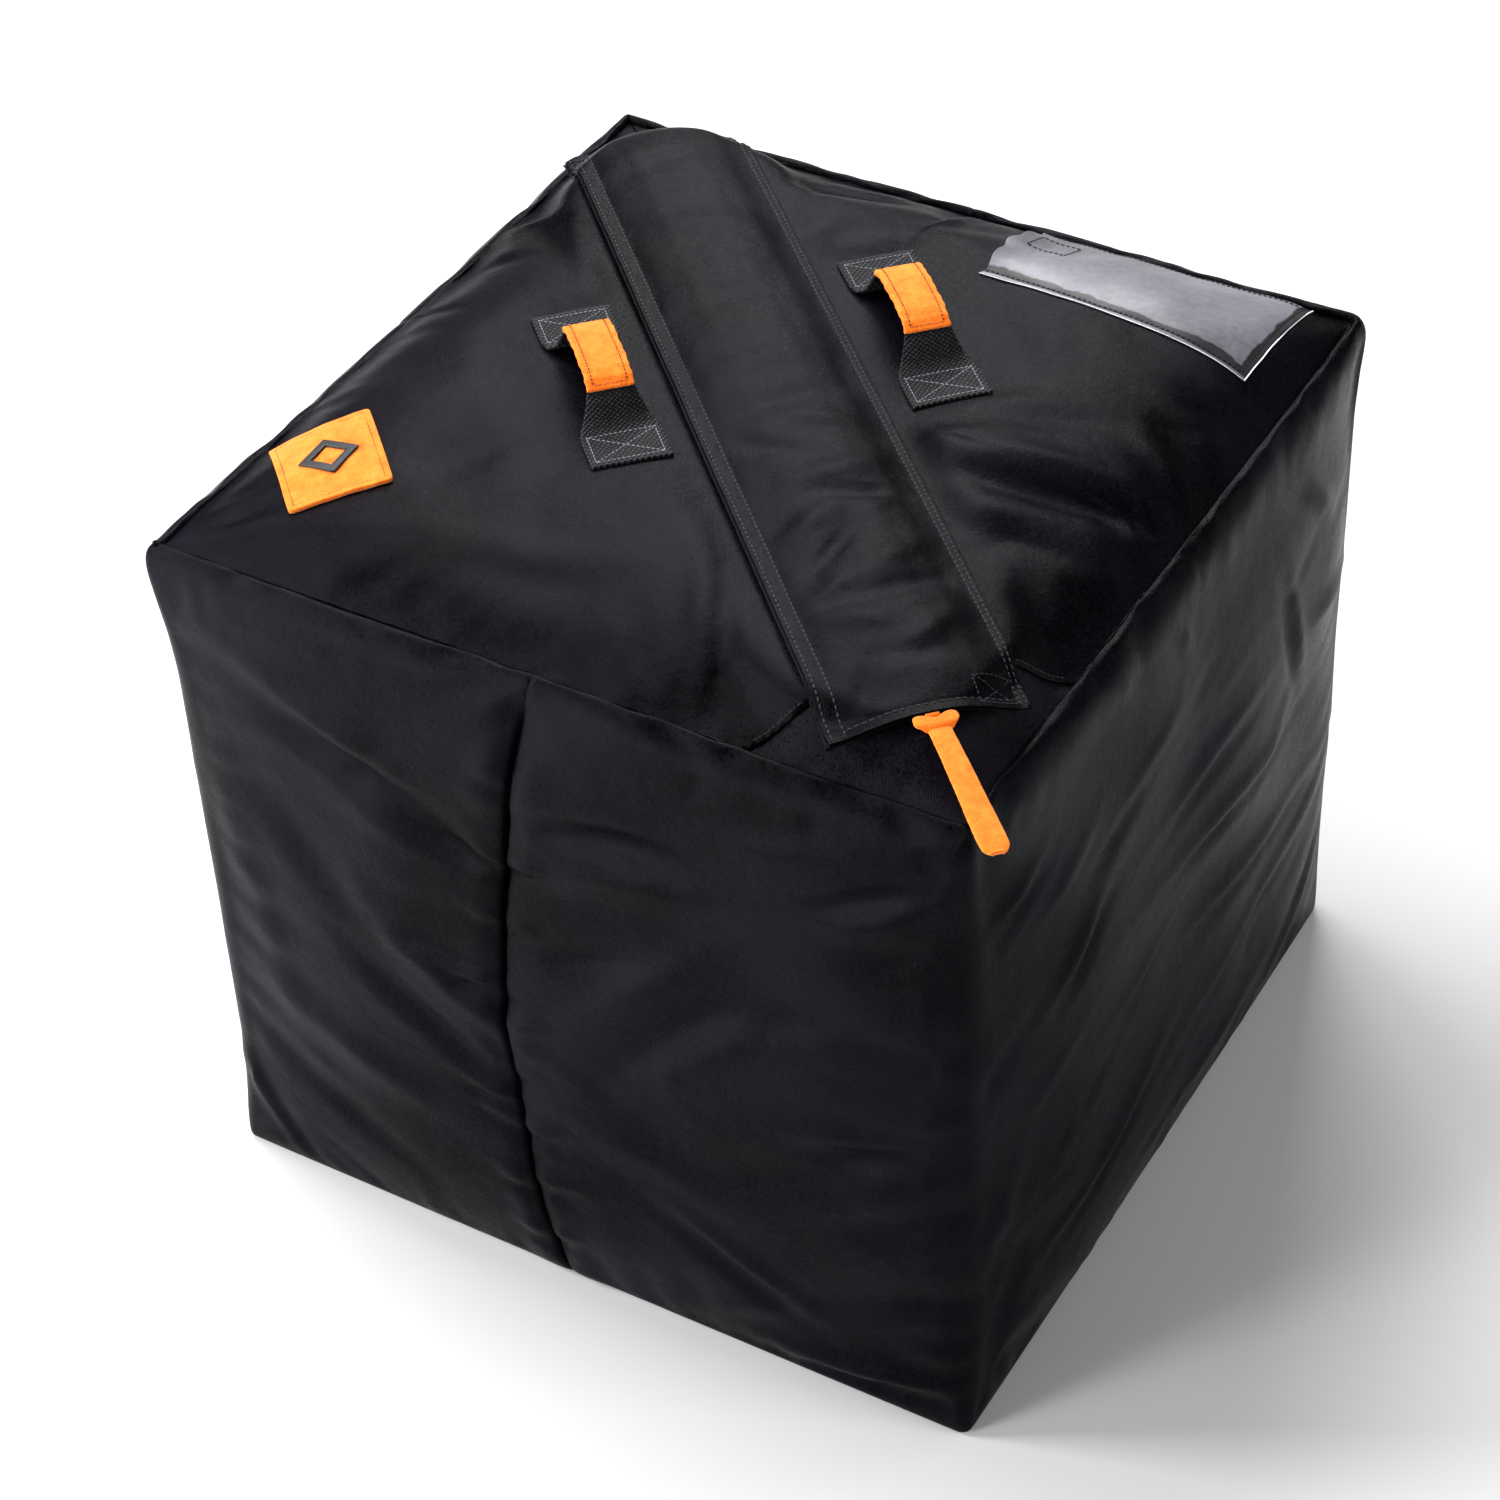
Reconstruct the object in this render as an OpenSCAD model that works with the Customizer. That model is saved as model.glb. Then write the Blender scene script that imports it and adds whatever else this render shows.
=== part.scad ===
// Soft cube-shaped kit bag with a diagonal zip under a storm flap.
// Z is up and the origin is the centre of the base.
// Pieces along the zip are drawn in a frame turned 45 degrees about Z: in it, X runs across the
// zip, from the left half of the lid to the right half, and Y runs along it, from front to back.

/* [Bag] */
// Width and depth of the square base
bag_w = 550; // [500:10:600]
// Height of the seam round the lid
edge_h = 505; // [450:5:550]
// Rise of the stuffed lid above its seam
crown = 25; // [20:1:30]
// Width of the sloping border of the lid
border = 23; // [20:1:30]
// Radius of the upright corners
corner_r = 16; // [10:1:20]

/* [Layers] */
// Outer fabric
skin = 1.5; // [1:0.1:2]
// Foam padding
foam = 8; // [6:0.5:9]
// Lining fabric
lining = 1; // [0.6:0.1:1.2]
// Width of the tape that binds the inner seams
binding_w = 12; // [10:1:16]

/* [Zip] */
// Distance from the bag's centre to the front stop
zip_front = 282; // [270:1:290]
// Distance from the bag's centre to the back stop
zip_back = 296; // [280:1:300]
// Width of the gap between the halves of the lid
mouth_gap = 17; // [15:1:20]
// Width of one zip tape
tape_w = 18; // [16:1:18]
// Length of the slider
slider_len = 20; // [18:1:22]

/* [Storm flap] */
// Width of the flap, with its sewn edge
flap_w = 118; // [110:1:120]
// Distance from the bag's centre to the front hem
flap_front = 316; // [310:1:320]
// Distance from the bag's centre to the back hem
flap_back = 322; // [316:1:326]
// Width of the sewn edge
sewn_w = 8; // [6:0.5:9]
// Height of the tunnel under the flap
tunnel_h = 7.5; // [7.5:0.1:9]

/* [Handles] */
// Distance from the zip to each handle
handle_off = 99; // [95:1:105]
// Front end of the handles, along the zip
handle_front = -44; // [-50:1:-40]
// Length of a handle, end to end
handle_len = 164; // [160:1:180]
// Width of the webbing
webbing_w = 50; // [50:1:50]
// Length of each sewn end
anchor_len = 36; // [30:1:38]
// Height of the loop above the lid
loop_h = 30; // [28:1:34]
// Width of the suede grip
grip_w = 29; // [26:1:32]

/* [Puller] */
// Length of the suede strap, from its loop
strap_len = 115; // [100:1:116]
// Width of the suede strap
strap_w = 15; // [12:0.5:16]

/* [Patch and window] */
// Width of the suede patch, across the zip
patch_w = 64; // [60:1:70]
// Length of the suede patch, along the zip
patch_l = 79; // [70:1:80]
// Width of the clear window
window_w = 192; // [180:1:200]
// Depth of the clear window, down to the lid's seam
window_d = 110; // [100:1:115]

/* [Hidden] */
half = bag_w / 2;
lid_z = edge_h + crown;         // flat middle of the lid
lid_half = half - border;       // half the width of that flat middle
slope = crown / border;
gap = 0.3;                      // running clearance between moving pieces
inner = half - skin - foam;     // outer face of the lining
cavity = inner - lining;        // half the width of the space inside
lining_r = corner_r - skin - foam + 1;
panel_top = lid_z - skin;       // underside of the lid's outer fabric
fabric = "#26262b";
webbing = "#1d1d20";
foam_colour = "#8f9299";
suede = "#f0902c";
metal = "#34353a";
panel_seam = 0.4;               // gap drawn at each butted seam

// Bag helpers
module turned() rotate([0, 0, 45]) children();

module rounded_square(h, r) {
    offset(r) square(2 * (h - r), center = true);
}

module block(x0, x1, y0, y1, z0, z1) {
    translate([x0, y0, z0]) cube([x1 - x0, y1 - y0, z1 - z0]);
}

// Solid under the lid, with its top lowered by drop
module lid_solid(drop, h) {
    intersection() {
        translate([0, 0, edge_h - drop])
            linear_extrude(height = crown, scale = lid_half / half)
                square(bag_w, center = true);
        translate([0, 0, edge_h - drop])
            linear_extrude(height = crown)
                rounded_square(h, corner_r);
    }
}

// One layer of the lid between two depths
module lid_layer(top, bottom, h) {
    difference() {
        lid_solid(top, h);
        translate([0, 0, top - bottom]) lid_solid(top, half);
    }
}

// Keeps one half of the lid: side is -1 for the left and 1 for the right
module lid_side(side, slot) {
    far = 2 * half;
    intersection() {
        children();
        turned() difference() {
            block(side > 0 ? 0.2 : -far, side > 0 ? far : -0.2, -zip_front, far, 0, far);
            block(-slot, slot, -far, zip_back, -1, far + 1);
        }
    }
}

// Wall with the plan of a square tube
module wall_tube(outer, wall, z0, z1, r) {
    translate([0, 0, z0]) linear_extrude(height = z1 - z0) difference() {
        rounded_square(outer, r);
        rounded_square(outer - wall, max(r - wall, 1));
    }
}

module wall_side(side) {
    intersection() {
        children();
        block(side > 0 ? panel_seam / 2 : -bag_w, side > 0 ? bag_w : -panel_seam / 2,
            -bag_w, bag_w, -1, bag_w);
    }
}

// Bag
module bottom_panel() color(fabric)
    linear_extrude(height = skin) rounded_square(half, corner_r);

module side_panel(side) color(fabric)
    wall_side(side) wall_tube(half, skin, skin, edge_h, corner_r);

module lid_panel(side) color(fabric)
    lid_side(side, mouth_gap / 2) lid_layer(0, skin, half);

module front_corner_panel() color("#303036")
    intersection() {
        lid_layer(0, skin, half);
        turned() block(-half, half, -2 * half, -zip_front - panel_seam, 0, bag_w);
    }

module side_pad(side) color(foam_colour)
    wall_side(side)
        wall_tube(half - skin, foam, skin + foam, edge_h - skin, corner_r - skin);

module bottom_pad() color(foam_colour)
    translate([0, 0, skin]) linear_extrude(height = foam)
        rounded_square(half - skin, corner_r - skin);

module lid_pad(side) color(foam_colour)
    lid_side(side, tape_w + 2) lid_layer(skin, skin + foam, inner);

module wall_lining() color("#4a4c52")
    wall_tube(inner, lining, skin + foam + lining, edge_h - 1, lining_r);

module bottom_lining() color("#4a4c52")
    translate([0, 0, skin + foam]) linear_extrude(height = lining)
        rounded_square(inner, lining_r);

module lid_lining(side) color("#4a4c52")
    lid_side(side, tape_w + 2) lid_layer(skin + foam, skin + foam + lining, cavity);

module seam_binding(z0) color(webbing)
    wall_tube(cavity, lining, z0, z0 + binding_w, lining_r);

module side_seam_bindings() color(webbing) {
    z0 = skin + foam + lining + binding_w;
    z1 = edge_h - 2 - binding_w;
    for (side = [-1, 1])
        translate([0, side * (cavity - lining / 2), 0])
            block(-binding_w / 2, binding_w / 2, -lining / 2, lining / 2, z0, z1);
}

// Zip: its tapes lie just under the lid's outer fabric, with the coil on top of them
tape_t = 1.2;
coil_gap = 0.9;                 // half the slot that the slider's post runs in
coil_w = 2.4;
coil_h = 2.5;
post_w = coil_gap - gap;
slider_w = 6.5;                 // half its width
plate_t = 1.2;
coil_top = panel_top + coil_h;
top_plate_z = coil_top + gap;
bridge_top = top_plate_z + plate_t + 3.4;
pin_z = top_plate_z + plate_t + 1.3;
stop_len = 2;
slider_front = -zip_front + stop_len + gap;
pin_y = slider_front + 8;
tab_end_y = -flap_front - 5;    // axis of the bar at the pull tab's end
tab_t = 1.4;
bar_r = 1.2;

module zip_tape(side) color(webbing)
    turned() block(min(side * coil_gap, side * (coil_gap + tape_w)),
        max(side * coil_gap, side * (coil_gap + tape_w)),
        -zip_front, zip_back, panel_top - tape_t, panel_top);

module zip_coil(side) color("#202024")
    turned() block(min(side * coil_gap, side * (coil_gap + coil_w)),
        max(side * coil_gap, side * (coil_gap + coil_w)),
        -zip_front + stop_len + 0.1, zip_back - stop_len - 0.1, panel_top, coil_top);

module zip_stops() color(metal)
    turned() for (y = [-zip_front, zip_back - stop_len])
        block(-4.5, 4.5, y, y + stop_len, panel_top, coil_top);

module zip_slider() color(metal)
    turned() {
        y0 = slider_front;
        y1 = slider_front + slider_len;
        bottom_z = panel_top - tape_t - gap - 0.1;
        // plates above and below the tapes
        block(-slider_w, slider_w, y0, y1, top_plate_z, top_plate_z + plate_t);
        block(-slider_w, slider_w, y0, y1, bottom_z - plate_t, bottom_z);
        // side flanges, and the post between the two coils
        for (side = [-1, 1])
            block(side * (slider_w - 0.6) - 0.6, side * (slider_w - 0.6) + 0.6, y0, y1,
                panel_top + 0.5, top_plate_z + plate_t);
        block(-post_w, post_w, y0 + 1, y0 + 6, bottom_z - plate_t, top_plate_z + plate_t);
        // bridge that holds the pull tab's pin
        difference() {
            block(-1.3, 1.3, y0 + 4, y0 + 12, top_plate_z + plate_t, bridge_top);
            block(-2, 2, pin_y - 1.6, pin_y + 1.6, top_plate_z, pin_z + 1.2);
        }
    }

module zip_pull_tab() color(metal)
    turned() translate([0, 0, pin_z]) {
        // pin under the slider's bridge, and the two arms that carry it
        translate([0, pin_y, 0]) rotate([0, 90, 0]) cylinder(r = 0.9, h = 7, center = true, $fn = 32);
        for (side = [-1, 1])
            block(side * 3 - 1, side * 3 + 1, pin_y - 12, pin_y + 1, -tab_t / 2, tab_t / 2);
        // flat blade, then the arms and bar that hold the suede strap
        block(-4, 4, tab_end_y + 7, pin_y - 11, -tab_t / 2, tab_t / 2);
        for (side = [-1, 1])
            block(side * 5.4 - 0.8, side * 5.4 + 0.8, tab_end_y, tab_end_y + 8, -tab_t / 2, tab_t / 2);
        block(-6.2, 6.2, tab_end_y + 6.5, tab_end_y + 8, -tab_t / 2, tab_t / 2);
        translate([0, tab_end_y, 0]) rotate([0, 90, 0])
            cylinder(r = bar_r, h = 12.4, center = true, $fn = 32);
    }

module suede_puller() color(suede) {
    loop_r = bar_r + gap;
    wall = 1;
    turned() translate([0, tab_end_y, pin_z]) {
        // loop round the tab's bar
        rotate([0, 90, 0]) difference() {
            cylinder(r = loop_r + wall, h = 8, center = true, $fn = 48);
            cylinder(r = loop_r, h = 9, center = true, $fn = 48);
        }
        // strap with a round tip
        translate([0, 0, -1.1]) linear_extrude(height = 2.2) {
            translate([-strap_w / 2, -strap_len + strap_w / 2])
                square([strap_w, strap_len - strap_w / 2 - loop_r - wall + 0.2]);
            translate([0, -strap_len + strap_w / 2]) circle(d = strap_w, $fn = 48);
        }
        // folded head with two round lobes
        translate([0, -loop_r - wall - 4.3, 1.1]) linear_extrude(height = 2.2) {
            square([16, 7], center = true);
            for (side = [-1, 1]) translate([side * 8, 0]) circle(d = 9, $fn = 32);
        }
    }
}

// Storm flap
sewn_x = flap_w / 2 - sewn_w;
hinge_z = lid_z + 2.8;
facing_t = 1;
outer_t = 1.2;
strip_t = 1.4;

// Underside of the flap, from its free edge to its hinge
function flap_line(up) = [
    [-flap_w / 2, lid_z + 2 * strip_t + 0.7 + up],
    [-flap_w / 2 + 23, lid_z + 2 * strip_t + 0.7 + up],
    [-20, lid_z + tunnel_h + up],
    [20, lid_z + tunnel_h + up],
    [sewn_x - 0.5, lid_z + 0.4 + up]];

function backwards(v) = [for (i = [len(v) - 1:-1:0]) v[i]];

module flap_layer(low, high)
    turned() translate([0, flap_back, 0]) rotate([90, 0, 0])
        linear_extrude(height = flap_back + flap_front)
            polygon(concat(flap_line(low), backwards(flap_line(high))));

module flap_facing() color("#222227") flap_layer(0, facing_t);

module flap_outer() color(fabric) flap_layer(facing_t, facing_t + outer_t);

module flap_hook_strip() color("#151517")
    turned() block(-flap_w / 2 + 2, -flap_w / 2 + 22, -flap_front + 12, flap_back - 12,
        lid_z + strip_t + 0.7, lid_z + 2 * strip_t + 0.7);

module lid_loop_strip() color("#19191b")
    turned() block(-flap_w / 2 + 2, -flap_w / 2 + 22, -zip_front + 4, flap_back - 30,
        lid_z, lid_z + strip_t);

module flap_sewn_edge() color(fabric)
    turned() block(sewn_x + 1.5, flap_w / 2, -flap_front, flap_back, lid_z, lid_z + 1.2);

// Handles: each is webbing sewn down at both ends, with a suede sleeve round its loop
webbing_t = 2;
sleeve_t = 1.3;
anchor_front = handle_front + anchor_len;
anchor_back = handle_front + handle_len - anchor_len;
tip_z = lid_z + 2.6;            // axis that the loop tips about
loop_y0 = anchor_front + 3.5;
loop_y1 = anchor_back - 3.5;
loop_top = lid_z + loop_h - tip_z - webbing_t - sleeve_t;
narrow_w = grip_w - 2 * sleeve_t;

// Underside of the loop, seen from the side: it rises from the front and drops at the back
module loop_outline(grow)
    offset(delta = grow)
        polygon([[loop_y0, -20], [loop_y0, 0], [loop_y0 + 16, loop_top - 5],
            [loop_y0 + 30, loop_top], [loop_y1 - 12, loop_top], [loop_y1, 0], [loop_y1, -20]]);

// Strip that follows the loop, between two heights over its underside
module loop_strip(low, high, w)
    translate([w / 2, 0, tip_z]) rotate([90, 0, -90]) linear_extrude(height = w)
        mirror([1, 0]) intersection() {
            difference() {
                loop_outline(high);
                loop_outline(low);
            }
            translate([anchor_front, 0]) square([anchor_back - anchor_front, loop_h]);
        }

// Each leg narrows to its pivot, so that the loop tips without meeting the lid
module tipping_room()
    translate([0, anchor_back, tip_z]) rotate([90, 0, 0])
        linear_extrude(height = anchor_back - anchor_front)
            polygon([[-3, 0], [3, 0], [grip_w / 2, 13.5], [grip_w / 2, loop_h],
                [-grip_w / 2, loop_h], [-grip_w / 2, 13.5]]);

module handle_ends(side) color(webbing)
    turned() translate([side * handle_off, 0, lid_z])
        for (y = [handle_front, anchor_back])
            block(-webbing_w / 2, webbing_w / 2, y, y + anchor_len, 0, webbing_t);

module handle_loop(side) color(webbing)
    turned() translate([side * handle_off, 0, 0]) intersection() {
        loop_strip(0, webbing_t, narrow_w);
        tipping_room();
    }

module handle_grip(side) color(suede)
    turned() translate([side * handle_off, 0, 0]) intersection() {
        difference() {
            loop_strip(-sleeve_t, webbing_t + sleeve_t, grip_w);
            loop_strip(-0.02, webbing_t + 0.02, narrow_w + 0.04);
        }
        block(-grip_w, grip_w, loop_y0 + 11, loop_y1 - 5, tip_z + 13.5, tip_z + loop_h);
    }

// Patch
patch_x = -270;
patch_y = 22;
patch_t = 2;

module emblem_outline(r)
    rotate(45) square(2 * r, center = true);

module emblem_ring(grow)
    difference() {
        emblem_outline(13 + grow);
        emblem_outline(8 - grow);
    }

module suede_patch() color(suede)
    turned() translate([patch_x, patch_y, lid_z]) linear_extrude(height = patch_t)
        difference() {
            offset(3) square([patch_w - 6, patch_l - 6], center = true);
            emblem_ring(0.02);
        }

module patch_emblem() color("#2b2b30")
    turned() translate([patch_x, patch_y, lid_z]) linear_extrude(height = patch_t - 0.8)
        emblem_ring(0);

// Document window: clear film sewn on three sides, open on the left
window_x = 48;
window_t = 0.8;
window_y1 = half - 4;
window_y0 = window_y1 - window_d;

module window_film(x0, x1, y0, z0, t)
    translate([x0, 0, 0]) rotate([90, 0, 90]) linear_extrude(height = x1 - x0)
        polygon([[y0, lid_z + z0], [lid_half, lid_z + z0],
            [window_y1, lid_z + z0 - slope * (window_y1 - lid_half)],
            [window_y1, lid_z + z0 + t - slope * (window_y1 - lid_half)],
            [lid_half, lid_z + z0 + t], [y0, lid_z + z0 + t]]);

square_w = 27;
square_t = 1;
square_x = window_x + 9;
square_y = window_y0 + 54;

module document_window() color("#c9ccd8", 0.35)
    window_film(window_x, window_x + window_w, window_y0, 2 * square_t + 0.1, window_t);

module window_hook_square() color("#2a2a2e")
    block(square_x, square_x + square_w, square_y, square_y + square_w,
        lid_z + square_t + 0.05, lid_z + 2 * square_t + 0.1);

module window_loop_square() color("#232327")
    block(square_x, square_x + square_w, square_y, square_y + square_w,
        lid_z, lid_z + square_t);

bottom_panel();
side_panel(-1);  // side_panel_left
side_panel(1);  // side_panel_right
lid_panel(-1);  // lid_panel_left
lid_panel(1);  // lid_panel_right
front_corner_panel();
side_pad(-1);  // side_pad_left
side_pad(1);  // side_pad_right
bottom_pad();
lid_pad(-1);  // lid_pad_left
lid_pad(1);  // lid_pad_right
wall_lining();
bottom_lining();
lid_lining(-1);  // lid_lining_left
lid_lining(1);  // lid_lining_right
seam_binding(edge_h - 2 - binding_w);  // top_seam_binding
seam_binding(skin + foam + lining);  // bottom_seam_binding
side_seam_bindings();
zip_tape(-1);  // zip_tape_left
zip_tape(1);  // zip_tape_right
zip_coil(-1);  // zip_coil_left
zip_coil(1);  // zip_coil_right
zip_stops();
zip_slider();
zip_pull_tab();
suede_puller();
flap_sewn_edge();
flap_outer();
flap_facing();
flap_hook_strip();
lid_loop_strip();
handle_ends(-1);  // left_handle_ends
handle_loop(-1);  // left_handle_loop
handle_grip(-1);  // left_handle_grip
handle_ends(1);  // right_handle_ends
handle_loop(1);  // right_handle_loop
handle_grip(1);  // right_handle_grip
suede_patch();
patch_emblem();
document_window();
window_hook_square();
window_loop_square();
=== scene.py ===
"""Looks for the cube kit bag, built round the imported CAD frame."""
import math

import bmesh
import bpy
import numpy as np
from mathutils import Matrix, Vector
from mathutils.bvhtree import BVHTree


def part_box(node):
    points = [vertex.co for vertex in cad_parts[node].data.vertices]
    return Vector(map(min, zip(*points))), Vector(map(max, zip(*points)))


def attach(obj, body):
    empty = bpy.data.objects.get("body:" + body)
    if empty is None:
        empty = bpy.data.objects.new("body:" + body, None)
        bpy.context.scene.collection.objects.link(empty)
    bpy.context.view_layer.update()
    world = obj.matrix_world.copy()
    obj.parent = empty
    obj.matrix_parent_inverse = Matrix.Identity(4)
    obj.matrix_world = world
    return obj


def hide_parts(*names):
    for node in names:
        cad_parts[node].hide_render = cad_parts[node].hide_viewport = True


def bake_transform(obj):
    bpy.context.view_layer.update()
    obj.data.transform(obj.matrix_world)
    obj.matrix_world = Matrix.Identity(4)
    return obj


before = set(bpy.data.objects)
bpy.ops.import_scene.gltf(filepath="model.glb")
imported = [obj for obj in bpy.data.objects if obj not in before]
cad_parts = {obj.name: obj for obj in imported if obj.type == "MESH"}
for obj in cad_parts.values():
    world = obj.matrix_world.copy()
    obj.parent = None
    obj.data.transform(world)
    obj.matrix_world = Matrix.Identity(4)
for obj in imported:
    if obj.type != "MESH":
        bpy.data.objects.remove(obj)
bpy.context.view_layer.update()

MM = 0.001
ROOT2 = math.sqrt(2.0)

# ---------------------------------------------------------------- sizes, from the frame, in mm
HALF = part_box("bottom_panel")[1].x / MM                  # half the bag's width
LID_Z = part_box("lid_panel_left")[1].z / MM               # flat middle of the lid
EDGE_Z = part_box("side_panel_left")[1].z / MM             # seam round the lid


def turned(x, y):
    """Row x, y to the frame along the zip: n across it, d along it."""
    return (x + y) / ROOT2, (y - x) / ROOT2


def row(n, d):
    """The frame along the zip back to row x, y."""
    return (n - d) / ROOT2, (n + d) / ROOT2


def at(n, d, z):
    x, y = row(n, d)
    return Vector((x, y, z)) * MM


def turned_span(node, axis):
    """Lowest and highest value of a CAD node: axis 0 is n, 1 is d, 2 is z."""
    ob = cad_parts[node]
    co = np.array([ob.matrix_world @ v.co for v in ob.data.vertices]) / MM
    n, d = turned(co[:, 0], co[:, 1])
    values = (n, d, co[:, 2])[axis]
    return float(values.min()), float(values.max())


FLAP_FREE, FLAP_HINGE = turned_span("flap_outer", 0)
FLAP_FRONT, FLAP_BACK = turned_span("flap_outer", 1)
FLAP_EDGE = turned_span("flap_sewn_edge", 0)[1]
ZIP_FRONT, ZIP_BACK = turned_span("zip_tape_left", 1)
PATCH_N, PATCH_D = turned_span("suede_patch", 0), turned_span("suede_patch", 1)
MOUTH = 8.5                                              # half the gap between the lid's halves
SEAM_INSET = 9.0                                         # lid seam, in from the wall's plane
LID_HALF = HALF - SEAM_INSET


# ---------------------------------------------------------------- mesh helpers
def smoothstep(low, high, x):
    t = np.clip((np.asarray(x, float) - low) / (high - low), 0, 1)
    return t * t * (3 - 2 * t)


def falloff(low, high, x):
    return 1 - smoothstep(low, high, x)


def band(a, b, c, d, x):
    """Rises from a to b and falls again from c to d."""
    return smoothstep(a, b, x) * falloff(c, d, x)


def new_object(name, verts, faces, smooth=True):
    mesh = bpy.data.meshes.new(name)
    mesh.from_pydata([tuple(v) for v in verts], [], [tuple(f) for f in faces])
    mesh.update()
    if smooth:
        mesh.polygons.foreach_set("use_smooth", [True] * len(mesh.polygons))
    ob = bpy.data.objects.new(name, mesh)
    bpy.context.scene.collection.objects.link(ob)
    return ob


def grid_faces(rows, cols, wrap=False):
    """Quads of a rows x cols grid of vertices."""
    last = cols if wrap else cols - 1
    r, c = np.meshgrid(np.arange(rows - 1), np.arange(last), indexing="ij")
    a = r * cols + c
    b = r * cols + (c + 1) % cols
    return np.stack([a, b, b + cols, a + cols], -1).reshape(-1, 4)


def set_uv(ob, values):
    """A UV in metres from one value per vertex."""
    layer = ob.data.uv_layers.new(name="fabric")
    index = np.zeros(len(ob.data.loops), int)
    ob.data.loops.foreach_get("vertex_index", index)
    layer.data.foreach_set("uv", np.asarray(values, float)[index].ravel())


def apply_modifiers(ob):
    dg = bpy.context.evaluated_depsgraph_get()
    mesh = bpy.data.meshes.new_from_object(ob.evaluated_get(dg), preserve_all_data_layers=True,
        depsgraph=dg)
    old = ob.data
    ob.modifiers.clear()
    ob.data = mesh
    bpy.data.meshes.remove(old)


# ---------------------------------------------------------------- folds
def fold(u, v, place, angle, length, width, height, bend=0.0):
    """One fold: a ridge with a faint valley on each side, fading out at both ends."""
    c, s = math.cos(angle), math.sin(angle)
    du, dv = u - place[0], v - place[1]
    p = du * c + dv * s
    q = -du * s + dv * c - bend * (p / length) ** 2 * length
    along = np.exp(-1.6 * (p / (0.5 * length)) ** 2)
    return height * along * (1 - 0.7 * (q / width) ** 2) * np.exp(-(q / width) ** 2)


def blobs(u, v, count, size, height, u_range, v_range, seed):
    """Broad soft unevenness of stuffed fabric."""
    r = np.random.default_rng(seed)
    out = np.zeros_like(u)
    for _ in range(count):
        cu, cv = r.uniform(*u_range), r.uniform(*v_range)
        su, sv = r.uniform(0.6, 1.4, 2) * size
        out += r.uniform(-1, 1) * height * np.exp(-((u - cu) / su) ** 2 - ((v - cv) / sv) ** 2)
    return out


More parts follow.
